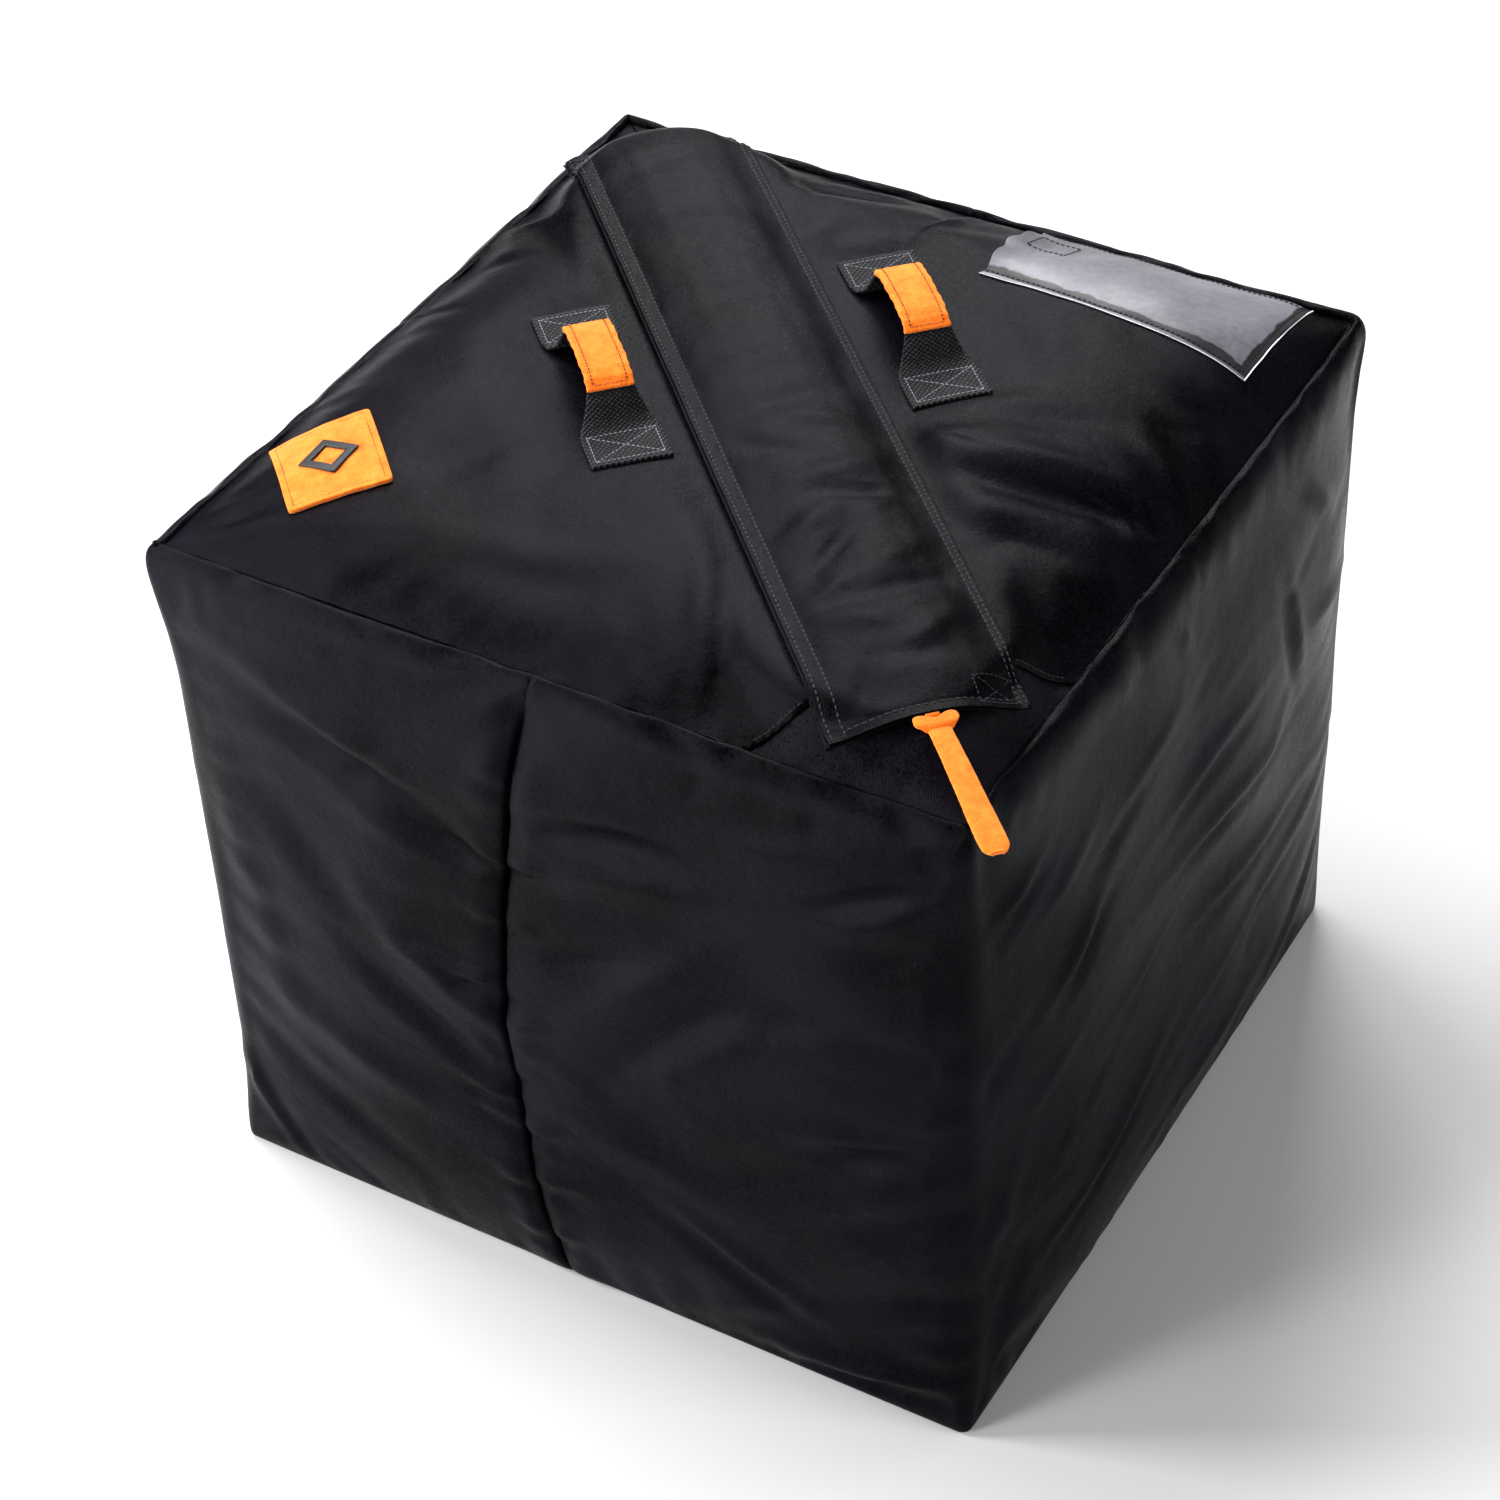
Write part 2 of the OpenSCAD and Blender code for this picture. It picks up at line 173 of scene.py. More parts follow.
# ---------------------------------------------------------------- materials
class Shader:
    """A Principled material and short ways to add nodes to it."""

    def __init__(self, name, color, roughness=0.6, metallic=0.0, specular=0.5):
        self.mat = bpy.data.materials.new(name)
        self.mat.use_nodes = True
        self.tree = self.mat.node_tree
        self.bsdf = self.tree.nodes["Principled BSDF"]
        self.color, self.roughness = color, roughness
        self.put("Base Color", (*color, 1))
        self.put("Roughness", roughness)
        self.put("Metallic", metallic)
        self.put("Specular IOR Level", specular)
        self.heights = []

    def put(self, socket, value):
        self.bsdf.inputs[socket].default_value = value

    def node(self, kind, **inputs):
        n = self.tree.nodes.new(kind)
        for key, value in inputs.items():
            n.inputs[key].default_value = value
        return n

    def link(self, a, b):
        self.tree.links.new(a, b)

    def math(self, op, *values):
        n = self.tree.nodes.new("ShaderNodeMath")
        n.operation = op
        for i, v in enumerate(values):
            if isinstance(v, (int, float)):
                n.inputs[i].default_value = v
            else:
                self.link(v, n.inputs[i])
        return n.outputs[0]

    def add(self, a, b):
        return self.math("ADD", a, b)

    def sub(self, a, b):
        return self.math("SUBTRACT", a, b)

    def mul(self, a, b):
        return self.math("MULTIPLY", a, b)

    def weigh(self, first, *rest):
        """Sum of (value, weight) pairs."""
        product = self.mul(*first)
        return self.add(product, self.weigh(*rest)) if rest else product

    def clamp(self, value):
        return self.math("MINIMUM", self.math("MAXIMUM", value, 0.0), 1.0)

    def uv(self):
        n = self.tree.nodes.new("ShaderNodeUVMap")
        n.uv_map = "fabric"
        s = self.tree.nodes.new("ShaderNodeSeparateXYZ")
        self.link(n.outputs["UV"], s.inputs[0])
        return s.outputs["X"], s.outputs["Y"]

    def place(self):
        return self.tree.nodes.new("ShaderNodeTexCoord").outputs["Object"]

    def noise(self, scale, detail=3.0, rough=0.5, stretch=None):
        vector = self.place()
        if stretch:
            m = self.node("ShaderNodeMapping", Scale=stretch)
            self.link(vector, m.inputs["Vector"])
            vector = m.outputs[0]
        n = self.node("ShaderNodeTexNoise", Scale=scale, Detail=detail, Roughness=rough)
        self.link(vector, n.inputs["Vector"])
        return n.outputs["Fac"]

    def wave(self, value, pitch):
        """A sine of that pitch in mm."""
        return self.math("SINE", self.mul(value, 2 * math.pi / (pitch * MM)))

    def ramp(self, value, stops):
        n = self.tree.nodes.new("ShaderNodeValToRGB")
        e = n.color_ramp.elements
        while len(e) < len(stops):
            e.new(0.5)
        for item, (pos, col) in zip(e, stops):
            item.position = pos
            item.color = (*col, 1) if isinstance(col, tuple) else (col, col, col, 1)
        self.link(value, n.inputs[0])
        return n.outputs[0]

    def tint(self, value, low=0.7, high=1.4, span=(0.3, 0.7)):
        c = self.color
        stops = [(span[0], tuple(x * low for x in c)), (span[1], tuple(x * high for x in c))]
        self.link(self.ramp(value, stops), self.bsdf.inputs["Base Color"])

    def gloss(self, value, spread=0.08, span=(0.3, 0.7)):
        stops = [(span[0], self.roughness - spread), (span[1], self.roughness + spread)]
        self.link(self.ramp(value, stops), self.bsdf.inputs["Roughness"])

    def bump(self, height, strength, distance):
        n = self.node("ShaderNodeBump", Strength=strength, Distance=distance * MM)
        self.link(height, n.inputs["Height"])
        if self.heights:
            self.link(self.heights[-1], n.inputs["Normal"])
        self.heights.append(n.outputs[0])
        self.link(n.outputs[0], self.bsdf.inputs["Normal"])

    def sheen(self, weight, roughness, color):
        self.put("Sheen Weight", weight)
        self.put("Sheen Roughness", roughness)
        self.put("Sheen Tint", (*color, 1))


def twill(name, color, pitch, depth, roughness, sheen, specular=0.5):
    """Coated polyester twill: fine diagonal ribs over a lightly clouded gloss."""
    s = Shader(name, color, roughness, specular=specular)
    u, v = s.uv()
    rib = s.wave(s.add(u, s.mul(v, 0.62)), pitch)
    yarn = s.wave(s.sub(u, s.mul(v, 1.6)), pitch * 0.82)
    grain = s.noise(540, 4, 0.75)
    cloud = s.noise(7, 4)
    weave = s.weigh((rib, 0.10), (yarn, 0.05))
    s.bump(s.noise(15, 6, 0.56), 0.5, 5.5)                # slight crumple between the folds
    s.bump(s.add(weave, s.mul(grain, 1.8)), depth, 0.42)
    s.tint(s.weigh((weave, 0.22), (grain, 0.5), (cloud, 0.5)), 0.12, 3.4, (0.40, 0.61))
    s.put("IOR", 1.14)
    s.gloss(s.weigh((grain, 0.7), (cloud, 0.3)), 0.12)
    s.sheen(sheen, 0.35, (0.80, 0.79, 0.90))
    s.put("Specular Tint", (0.93, 0.91, 1.0, 1))
    return s.mat


def suede_material():
    """Orange split suede: mottled nap, short fuzz, paler where it is worn."""
    s = Shader("orange_suede_nap", (0.86, 0.205, 0.018), 0.92, specular=0.15)
    fine, blotch, fibres = s.noise(1500, 3, 0.6), s.noise(110, 4, 0.6), s.noise(420, 3, 0.65)
    mix = s.weigh((blotch, 0.45), (fine, 0.3), (fibres, 0.25))
    s.link(s.ramp(mix, [(0.30, (0.56, 0.098, 0.007)), (0.47, (0.83, 0.172, 0.013)),
        (0.62, (0.95, 0.255, 0.032)), (0.78, (1.0, 0.38, 0.11))]), s.bsdf.inputs["Base Color"])
    s.bump(s.add(fine, s.mul(fibres, 1.2)), 0.75, 0.5)
    s.bump(blotch, 0.35, 0.9)
    s.sheen(0.55, 0.5, (1.0, 0.62, 0.34))
    return s.mat


def webbing_material():
    """Polyester webbing: coarse grid of bumps, lighter on top of each pick as a painted highlight and
    darker between the picks as painted shade.
    """
    s = Shader("webbing_picks", (0.012, 0.012, 0.014), 0.6, specular=0.2)
    u, v = s.uv()
    pick = s.mul(s.wave(u, 3.6), s.wave(v, 4.0))
    fine = s.noise(1300, 2)
    s.bump(s.weigh((pick, 0.5), (fine, 0.3)), 0.9, 0.75)
    # base colour: painted highlight on the tops of the picks and painted shade between them, over a random
    # grain from the fine noise
    s.link(s.ramp(s.add(s.mul(pick, 0.3), fine), [(0.38, (0.002, 0.002, 0.003)),
        (0.64, (0.008, 0.008, 0.010)), (0.88, (0.085, 0.085, 0.095))]), s.bsdf.inputs["Base Color"])
    s.sheen(0.06, 0.4, (0.8, 0.8, 0.86))
    return s.mat


def pile(name, color, scale):
    """Hook or loop tape: a dense matt pile."""
    s = Shader(name, color, 0.85, specular=0.25)
    dots = s.node("ShaderNodeTexVoronoi", Scale=scale)
    s.link(s.place(), dots.inputs["Vector"])
    tuft = s.sub(1.0, dots.outputs["Distance"])
    s.bump(tuft, 0.9, 0.8)
    s.tint(tuft, 0.5, 1.9, (0.35, 1.0))
    s.sheen(0.3, 0.5, (0.8, 0.8, 0.85))
    return s.mat


def film_material():
    """Clear vinyl over black cloth: a pale haze, dark where it clings along the sewn front edge."""
    s = Shader("clear_film_haze", (0.42, 0.42, 0.47), 0.5, specular=0.3)
    u, v = s.uv()
    cloud, fine, big = s.noise(26, 4, 0.6), s.noise(240, 3), s.noise(9, 3)
    wander = s.mul(s.sub(cloud, 0.5), 0.016)
    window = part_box("document_window")
    edge = s.math("MINIMUM", v, s.add(s.sub(window[1].x - window[0].x, u), 0.003))
    cling = s.clamp(s.mul(s.sub(s.add(edge, wander), 0.0090), 700.0))
    hem = s.clamp(s.mul(s.sub(0.0026, v), 2200.0))
    haze = s.ramp(s.weigh((big, 0.7), (fine, 0.3)),
        [(0.30, (0.08, 0.08, 0.092)), (0.70, (0.20, 0.20, 0.225))])
    mix = s.tree.nodes.new("ShaderNodeMix")
    mix.data_type = "RGBA"
    s.link(s.math("MAXIMUM", cling, hem), mix.inputs["Factor"])
    mix.inputs["A"].default_value = (0.012, 0.012, 0.014, 1)
    s.link(haze, mix.inputs["B"])
    s.link(mix.outputs["Result"], s.bsdf.inputs["Base Color"])
    s.gloss(cloud, 0.10)
    s.bump(s.add(cloud, s.mul(fine, 0.15)), 0.25, 1.2)
    s.put("Coat Weight", 0.06)
    s.put("Coat Roughness", 0.2)
    return s.mat


def plain(name, color, roughness, metallic=0.0, scale=400, depth=0.3, specular=0.5, low=0.75, high=1.3):
    """A finish with fine grain and slight cloudiness."""
    s = Shader(name, color, roughness, metallic, specular)
    fine, cloud = s.noise(scale, 3), s.noise(scale / 18, 3)
    mix = s.weigh((fine, 0.6), (cloud, 0.4))
    s.tint(mix, low, high)
    s.gloss(mix, 0.07)
    s.bump(fine, depth, 0.2)
    return s.mat


def thread(name, color):
    s = Shader(name, color, 0.6, specular=0.35)
    twist = s.noise(2600, 1, 0.5, (1, 1, 2.5))
    s.tint(twist, 0.6, 1.5)
    s.bump(twist, 0.5, 0.15)
    return s.mat


def cloth_grain(name, color, pitch):
    """Plain weave for CAD pieces, which have no UV: two sets of yarns in object space."""
    s = Shader(name, color, 0.72, specular=0.3)
    parts = s.tree.nodes.new("ShaderNodeSeparateXYZ")
    s.link(s.place(), parts.inputs[0])
    a = s.wave(s.add(parts.outputs["X"], parts.outputs["Z"]), pitch)
    b = s.wave(s.add(parts.outputs["Y"], parts.outputs["Z"]), pitch)
    grain = s.noise(900, 2)
    weave = s.add(s.mul(a, b), grain)
    s.bump(weave, 0.4, 0.25)
    s.tint(s.weigh((weave, 0.3), (grain, 0.4)), 0.65, 1.45, (0.1, 0.8))
    return s.mat


fabric_mat = twill("outer_fabric_twill", (0.0019, 0.0017, 0.0028), 1.25, 0.5, 0.30, 0.004)
flap_mat = twill("flap_fabric_twill", (0.0018, 0.0016, 0.0027), 1.25, 0.5, 0.30, 0.004)
corner_mat = twill("corner_fabric_twill", (0.0046, 0.0042, 0.0062), 1.9, 0.7, 0.33, 0.02, 0.6)
suede_mat = suede_material()
webbing_mat = webbing_material()
hook_mat = pile("hook_tape_pile", (0.012, 0.012, 0.013), 900)
loop_mat = pile("loop_tape_pile", (0.016, 0.016, 0.018), 620)
film_mat = film_material()
film_edge_mat = plain("clear_film_cut_edge", (0.80, 0.80, 0.84), 0.35, scale=700, depth=0.2)
foam_mat = plain("foam_cells", (0.22, 0.23, 0.25), 0.9, scale=900, depth=0.7, specular=0.2)
emblem_mat = plain("emblem_print", (0.010, 0.010, 0.012), 0.55, scale=1200, depth=0.4)
metal_mat = plain("zip_metal_gunmetal", (0.085, 0.085, 0.095), 0.34, 1.0, 500, 0.15)
coil_mat = plain("zip_coil_nylon", (0.010, 0.010, 0.012), 0.38, scale=900, depth=0.15)
tape_mat = cloth_grain("zip_tape_weave", (0.012, 0.012, 0.014), 0.9)
binding_mat = cloth_grain("binding_weave", (0.016, 0.016, 0.018), 1.2)
lining_mat = cloth_grain("lining_weave", (0.060, 0.062, 0.070), 0.8)
thread_mat = thread("thread_black", (0.035, 0.035, 0.040))
jet_thread_mat = thread("thread_jet", (0.006, 0.006, 0.007))
grey_thread_mat = thread("thread_grey", (0.24, 0.24, 0.26))
tan_thread_mat = thread("thread_tan", (0.42, 0.17, 0.05))

# CAD pieces that are kept as they are
for node, material in (("bottom_lining", lining_mat), ("zip_tape_left", tape_mat),
        ("zip_tape_right", tape_mat), ("zip_stops", metal_mat), ("zip_slider", metal_mat),
        ("zip_pull_tab", metal_mat)):
    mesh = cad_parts[node].data
    mesh.materials.clear()
    mesh.materials.append(material)


# ---------------------------------------------------------------- lid surface, before folds
SEAM_Z = EDGE_Z - 3.5      # bottom of the groove along the lid's seam
DOME = LID_Z + 3.0 - SEAM_Z


def edge_distance(x, y):
    return LID_HALF - np.maximum(np.abs(x), np.abs(y))


def lid_height(x, y):
    """Smooth height of the lid: a low crown, level under the storm flap."""
    def rise(e):
        e = np.clip(e, 0, LID_HALF)
        return 0.12 * (1 - np.exp(-e / 2.2)) + 0.88 * (1 - (1 - e / LID_HALF) ** 5)
    z = SEAM_Z + DOME * rise(LID_HALF - np.abs(x)) * rise(LID_HALF - np.abs(y))
    n, d = turned(x, y)
    level = falloff(60, 92, np.abs(n)) * band(-352, -322, 300, 340, d)
    level = level * smoothstep(6, 34, edge_distance(x, y))
    return z * (1 - level) + LID_Z * level


# Folds are written as: place (two mm), direction (degrees), length, width, height and, if any, bend.
LID_FOLDS = [
    # fanning in from the left corner
    (-228, -226, 40, 120, 9, -3.6), (-222, -206, 52, 110, 9, 2.2, 0.05),
    (-205, -232, 20, 110, 9, 2.2, -0.1), (-234, -190, 66, 80, 8, -1.6),
    (-190, -240, 10, 90, 8, -1.6),
    # fanning back from the front left end of the corner panel's seam
    (78, -242, 118, 90, 8, -3.0, 0.05), (93, -222, 107, 110, 8, -2.8),
    (66, -206, 111, 130, 10, 2.4, 0.1), (86, -182, 101, 120, 9, 1.8, -0.05),
    (48, -236, 130, 90, 9, -1.8),
    # across the right half
    (190, -16, 12, 150, 13, -5.2, 0.08), (186, 12, 14, 130, 13, 3.2, 0.06),
    (150, -52, 14, 110, 11, 2.4), (158, 44, 24, 130, 15, -2.0, 0.1), (205, -60, 8, 90, 9, -2.2),
    # gathers along the right edge
    (243, 33, -32, 62, 7, -3.2), (236, 52, -30, 60, 7, 2.6), (231, 78, -26, 62, 7, -3.0),
    (243, 94, -24, 52, 6, 2.2), (238, 114, -20, 52, 6, -2.2), (247, 6, -36, 52, 6, 2.4),
    (248, -24, -34, 56, 7, -2.8), (250, -52, -36, 50, 6, 2.2), (250, -78, -30, 46, 6, -1.8),
    (244, 136, -16, 46, 6, 1.6), (252, -110, -28, 40, 6, 1.4),
    # behind the right handle
    (-60, 232, 14, 150, 12, -2.6, 0.1), (-20, 246, 10, 130, 9, 2.2, 0.05),
    (20, 226, 20, 120, 11, -1.8),
    # left half
    (-120, -120, 60, 170, 22, -1.8, 0.1), (-160, -40, 100, 170, 22, -1.6),
    (-60, -200, 8, 150, 16, 1.6, 0.1), (-235, 60, 30, 70, 8, -1.6), (-238, 120, 24, 60, 8, 1.6),
    (-120, -244, 60, 40, 7, -1.5),
]
FRONT_FOLDS = [
    # slack across the left half
    (-120, 398, -22, 190, 17, -5.0, -0.1), (-150, 424, -24, 170, 16, 3.4, -0.08),
    (-66, 366, -8, 70, 9, -2.6), (-96, 214, -34, 150, 15, -3.8, 0.06),
    (-70, 250, -30, 160, 16, 2.6, 0.05), (-160, 300, -48, 190, 20, -2.2, 0.1),
    (-150, 150, -20, 170, 18, 2.0, 0.1), (-170, 90, -28, 150, 14, -2.0),
    (-226, 250, -78, 260, 18, 2.2, 0.05), (-248, 56, -58, 110, 8, 4.4),
    (-236, 44, -58, 110, 8, -3.2),
    # slack across the right half
    (44, 414, 8, 140, 12, -4.8, -0.14), (60, 386, 12, 150, 14, 3.2, -0.1),
    (60, 300, 46, 170, 15, 3.0, 0.04), (92, 282, 46, 190, 16, -3.6, 0.05),
    (100, 268, 52, 180, 15, 2.2), (30, 316, 24, 90, 12, -2.4), (170, 330, 28, 170, 18, -2.6, 0.1),
    (150, 190, 30, 200, 20, -2.6, 0.08), (112, 90, -30, 130, 10, -2.6),
    (124, 100, -30, 130, 10, 2.0), (212, 232, 14, 90, 9, -3.0), (208, 246, 14, 100, 9, 2.0),
    (205, 30, 8, 170, 10, 3.4, 0.05), (200, 18, 8, 170, 8, -2.6, 0.05),
    (60, 160, -14, 140, 18, 1.8),
    # creases drawn up into the front corner
    (212, 440, 26, 110, 9, -4.0, 0.08), (222, 424, 34, 90, 8, 2.6), (232, 398, 40, 80, 8, -2.6),
    (150, 452, 14, 120, 10, 1.8),
    # crossing the front edge, which they make wavy
    (262, 330, 50, 70, 12, -4.0), (262, 276, 20, 60, 10, 3.4), (258, 196, 40, 80, 14, -4.2),
    (262, 120, 20, 80, 14, -3.6), (264, 70, 10, 60, 10, 3.0),
]
# Puckers where the seam down the front gathers its two panels: side, height, length, lift
FRONT_PUCKERS = [(-1, 368, 44, 3.0), (1, 372, 40, 3.2), (-1, 268, 52, 3.4), (1, 240, 38, 2.6),
    (-1, 170, 48, 3.2), (-1, 152, 36, 2.4), (1, 148, 44, 3.0), (-1, 96, 30, 2.2), (1, 104, 46, 2.6),
    (-1, 438, 30, 1.6), (1, 320, 26, 1.6), (1, 52, 30, 1.8), (-1, 46, 28, 1.6), (-1, 322, 26, 1.6),
    (1, 196, 26, 1.6)]
RIGHT_FOLDS = [
    # long tension folds, nearly level
    (30, 288, -3, 280, 9, 3.0, 0.02), (34, 272, -3, 260, 8, -2.2, 0.02),
    (70, 200, -2, 300, 9, 2.6, 0.02), (66, 186, -2, 280, 8, -2.0), (4, 344, 6, 160, 8, 2.4),
    (0, 330, 6, 150, 8, -2.2), (108, 140, 8, 220, 9, 2.2), (100, 128, 8, 200, 8, -1.6),
    (-100, 122, 18, 190, 10, 2.4, 0.05), (-106, 108, 18, 170, 9, -1.8, 0.05),
    (-162, 336, 28, 90, 8, 3.4), (-154, 322, 28, 90, 7, -2.8), (-226, 426, 26, 66, 7, 3.4),
    (-220, 412, 26, 66, 7, -3.0), (-176, 398, 24, 80, 7, 2.4), (-120, 380, 18, 110, 8, -2.2),
    (-60, 410, 12, 120, 8, 1.8), (-64, 240, 8, 150, 8, 2.2), (-70, 228, 8, 140, 7, -1.8),
    (-130, 200, 20, 110, 8, -2.0), (60, 60, 4, 220, 10, 1.8), (134, 350, -70, 120, 10, -3.0, 0.1),
    (146, 340, -70, 120, 9, 2.2, 0.1), (190, 420, -50, 90, 9, 1.8), (214, 330, -8, 110, 9, 1.8),
    (150, 448, -30, 60, 7, -1.8), (-20, 460, -60, 40, 6, 2.0), (-240, 300, 40, 90, 12, -3.0),
    (-236, 180, 60, 110, 13, 3.0), (-230, 90, 70, 90, 12, -2.6), (-164, 186, 40, 40, 5, 1.6),
    (-190, 250, 30, 90, 9, 2.0), (200, 60, 30, 110, 9, 1.6),
]


def add_folds(u, v, folds):
    out = np.zeros_like(u)
    for pu, pv, angle, *shape in folds:
        out += fold(u, v, (pu, pv), math.radians(angle), *shape)
    return out


def random_folds(u, v, count, box, length, width, height, seed, angles=(-90, 90)):
    r = np.random.default_rng(seed)
    out = np.zeros_like(u)
    for _ in range(count):
        out += fold(u, v, (r.uniform(*box[0]), r.uniform(*box[1])), math.radians(r.uniform(*angles)),
            r.uniform(*length), r.uniform(*width), r.uniform(*height) * r.choice((-1, 1)),
            r.uniform(-0.15, 0.15))
    return out


def lid_folds(x, y):
    """Folds of the lid, kept off its seam and out from under the flap."""
    out = add_folds(x, y, LID_FOLDS)
    out += blobs(x, y, 70, 46, 1.9, (-250, 250), (-250, 250), 31)
    out += random_folds(x, y, 26, ((-230, 230), (-230, 230)), (50, 120), (8, 16), (0.4, 1.1), 33)
    r = np.random.default_rng(41)
    for face in range(4):                     # short gathers along the seam
        along, outward = face_frame(face)
        s = -245.0
        while s < 245:
            long = r.uniform(18, 50)
            place = along * s + outward * (LID_HALF - 8 - long * 0.3)
            angle = math.atan2(outward[1], outward[0]) + r.uniform(-0.5, 0.5)
            out += fold(x, y, place, angle, long, r.uniform(4.5, 8), r.uniform(-1.3, 1.0))
            s += r.uniform(16, 38)
    n, d = turned(x, y)
    under_flap = falloff(58, 84, np.abs(n)) * band(-330, -318, 318, 334, d)
    past_patch = np.maximum.reduce([PATCH_N[0] - n, n - PATCH_N[1], PATCH_D[0] - d, d - PATCH_D[1]])
    calm = 0.2 + 0.8 * smoothstep(0, 26, past_patch)      # the suede holds the cloth flat
    return out * smoothstep(0, 16, edge_distance(x, y)) * (1 - under_flap) * calm


def wall_folds(face, s, z):
    """Folds of one wall, in mm along it and up it."""
    seed = 100 + 10 * face
    rough = {"front": (16, ((-240, 240), (40, 470)), (40, 100), (7, 14), (0.4, 1.0), seed + 1),
        "right": (22, ((-240, 240), (40, 470)), (50, 140), (6, 10), (0.4, 1.1), seed + 1, (-8, 30)),
        "long": (22, ((-240, 240), (50, 460)), (90, 230), (9, 18), (0.9, 2.2), seed + 1, (-50, 50)),
        "short": (18, ((-250, 250), (40, 470)), (40, 110), (6, 11), (0.5, 1.6), seed + 2)}
    out = blobs(s, z, 34, 58, 2.6 if face < 2 else 1.8, (-260, 260), (30, 480), seed)
    if face == 0:
        out += add_folds(s, z, FRONT_FOLDS) + random_folds(s, z, *rough["front"])
        for side, height, length, lift in FRONT_PUCKERS:
            u = seam_x(np.array(float(height))) + side * (4 + length * 0.32)
            out += fold(s, z, (u, height), side * 0.20, length, 6.0, lift, 0.1)
            out += fold(s, z, (u, height - 11), side * 0.28, length, 6.0, -lift * 0.8, 0.1)
    elif face == 1:
        out += add_folds(s, z, RIGHT_FOLDS) + random_folds(s, z, *rough["right"])
    else:
        out += random_folds(s, z, *rough["long"]) + random_folds(s, z, *rough["short"])
        if face == 2:                         # puckers along the seam down the back
            r = np.random.default_rng(seed + 3)
            height = 40.0
            while height < 460:
                side = r.choice((-1, 1))
                length = r.uniform(28, 54)
                place = (side * (4 + length * 0.32), height)
                out += fold(s, z, place, side * 0.2, length, 6.0, r.uniform(1.5, 3.2), 0.1)
                height += r.uniform(16, 44)
        for side in (-1, 1):                  # drags that hang from the upper corners
            out += fold(s, z, (side * 222, 430), math.radians(side * 48), 130, 11, -3.0, side * 0.08)
            out += fold(s, z, (side * 205, 440), math.radians(side * 36), 140, 11, 2.2, side * 0.08)
            out += fold(s, z, (side * 236, 60), math.radians(-side * 50), 110, 10, 2.8, 0.0)
    r = np.random.default_rng(seed + 5)
    s0 = -250.0
    while s0 < 250:                           # short gathers under the lid's seam and over the base
        out += fold(s, z, (s0, EDGE_Z - 24), math.pi / 2 + r.uniform(-0.6, 0.6), r.uniform(16, 44),
            r.uniform(4.5, 8), r.uniform(-1.2, 1.0))
        out += fold(s, z, (s0 + r.uniform(-9, 9), 18), math.pi / 2 + r.uniform(-0.6, 0.6),
            r.uniform(18, 50), r.uniform(5, 9), r.uniform(-1.2, 1.0))
        s0 += r.uniform(16, 36)
    return out


# ---------------------------------------------------------------- shell of the bag
def face_frame(face):
    """Direction along a wall and its outward normal: front, right, back, left."""
    along = ((1, 0), (0, 1), (-1, 0), (0, -1))[face]
    out = ((0, -1), (1, 0), (0, 1), (-1, 0))[face]
    return np.array(along, float), np.array(out, float)


def seam_x(z):
    """The seam down the front wanders to the left between the base and the lid."""
    t = np.clip(z / EDGE_Z, 0, 1)
    return -37.0 * np.sin(math.pi * (0.10 + 0.84 * t)) ** 0.9 + 4.0 * t


COARSE = 7.6                              # spacing of the lines away from seams and corners
BELLY = 9.0                               # how far the middle of a wall swells
near_seam = [0.9, 2.1, 4.0, 7.2, 12.4]
STRAIGHT = HALF - 16.0
steps = int(round((STRAIGHT - near_seam[-1]) / COARSE))
outer = [near_seam[-1] + (STRAIGHT - near_seam[-1]) * k / steps for k in range(1, steps + 1)]
right_half = near_seam + outer
S_LINES = np.array([-v for v in reversed(right_half)] + [0.0] + right_half)
ARC_TURNS = (9, 27, 45, 63, 81)
MIDDLE = len(right_half)                  # column of the seam on a wall
FACE_COLS = len(S_LINES) + len(ARC_TURNS)


def profile():
    """Offset from the wall's plane and height of each row, from the base's seam to the lid's seam."""
    key = np.array([(-4.0, 0.6), (-2.0, 0.7), (-0.8, 1.8), (-0.2, 4.5), (0, 9), (0, 60), (0, 240),
        (0, 440), (1.0, 470), (1.8, 484), (1.6, 493), (0.0, 500), (-2.8, 504.6), (-5.6, 506.4),
        (-7.6, 505.6), (-8.8, 503.4), (-9.0, SEAM_Z)])
    key[:, 1] *= np.where(key[:, 1] > 400, EDGE_Z / 505.0, 1.0)
    length = np.concatenate([[0], np.cumsum(np.hypot(*np.diff(key, axis=0).T))])
    total = length[-1]
    down = [0, 0.9, 2.0, 3.6, 5.6, 8.2, 11.6, 16.0, 21.5]
    up = [0, 3.5, 7.5, 12.5, 19]
    count = int(round((total - down[-1] - up[-1]) / COARSE))
    middle = [up[-1] + (total - down[-1] - up[-1]) * k / count for k in range(1, count)]
    where = np.array(up + middle + [total - v for v in reversed(down)])
    return np.interp(where, length, key[:, 0]), np.interp(where, length, key[:, 1]), where


def corner_radius(face, z):
    """Plan radius of the corner after a wall: small at both seams, loose between them."""
    loose = (24, 20, 22, 20)[face]
    top = (5, 13, 6, 4)[face]
    t = z / EDGE_Z
    return top + (loose - top) * smoothstep(1.0, 0.78, t) * smoothstep(-0.06, 0.2, t)


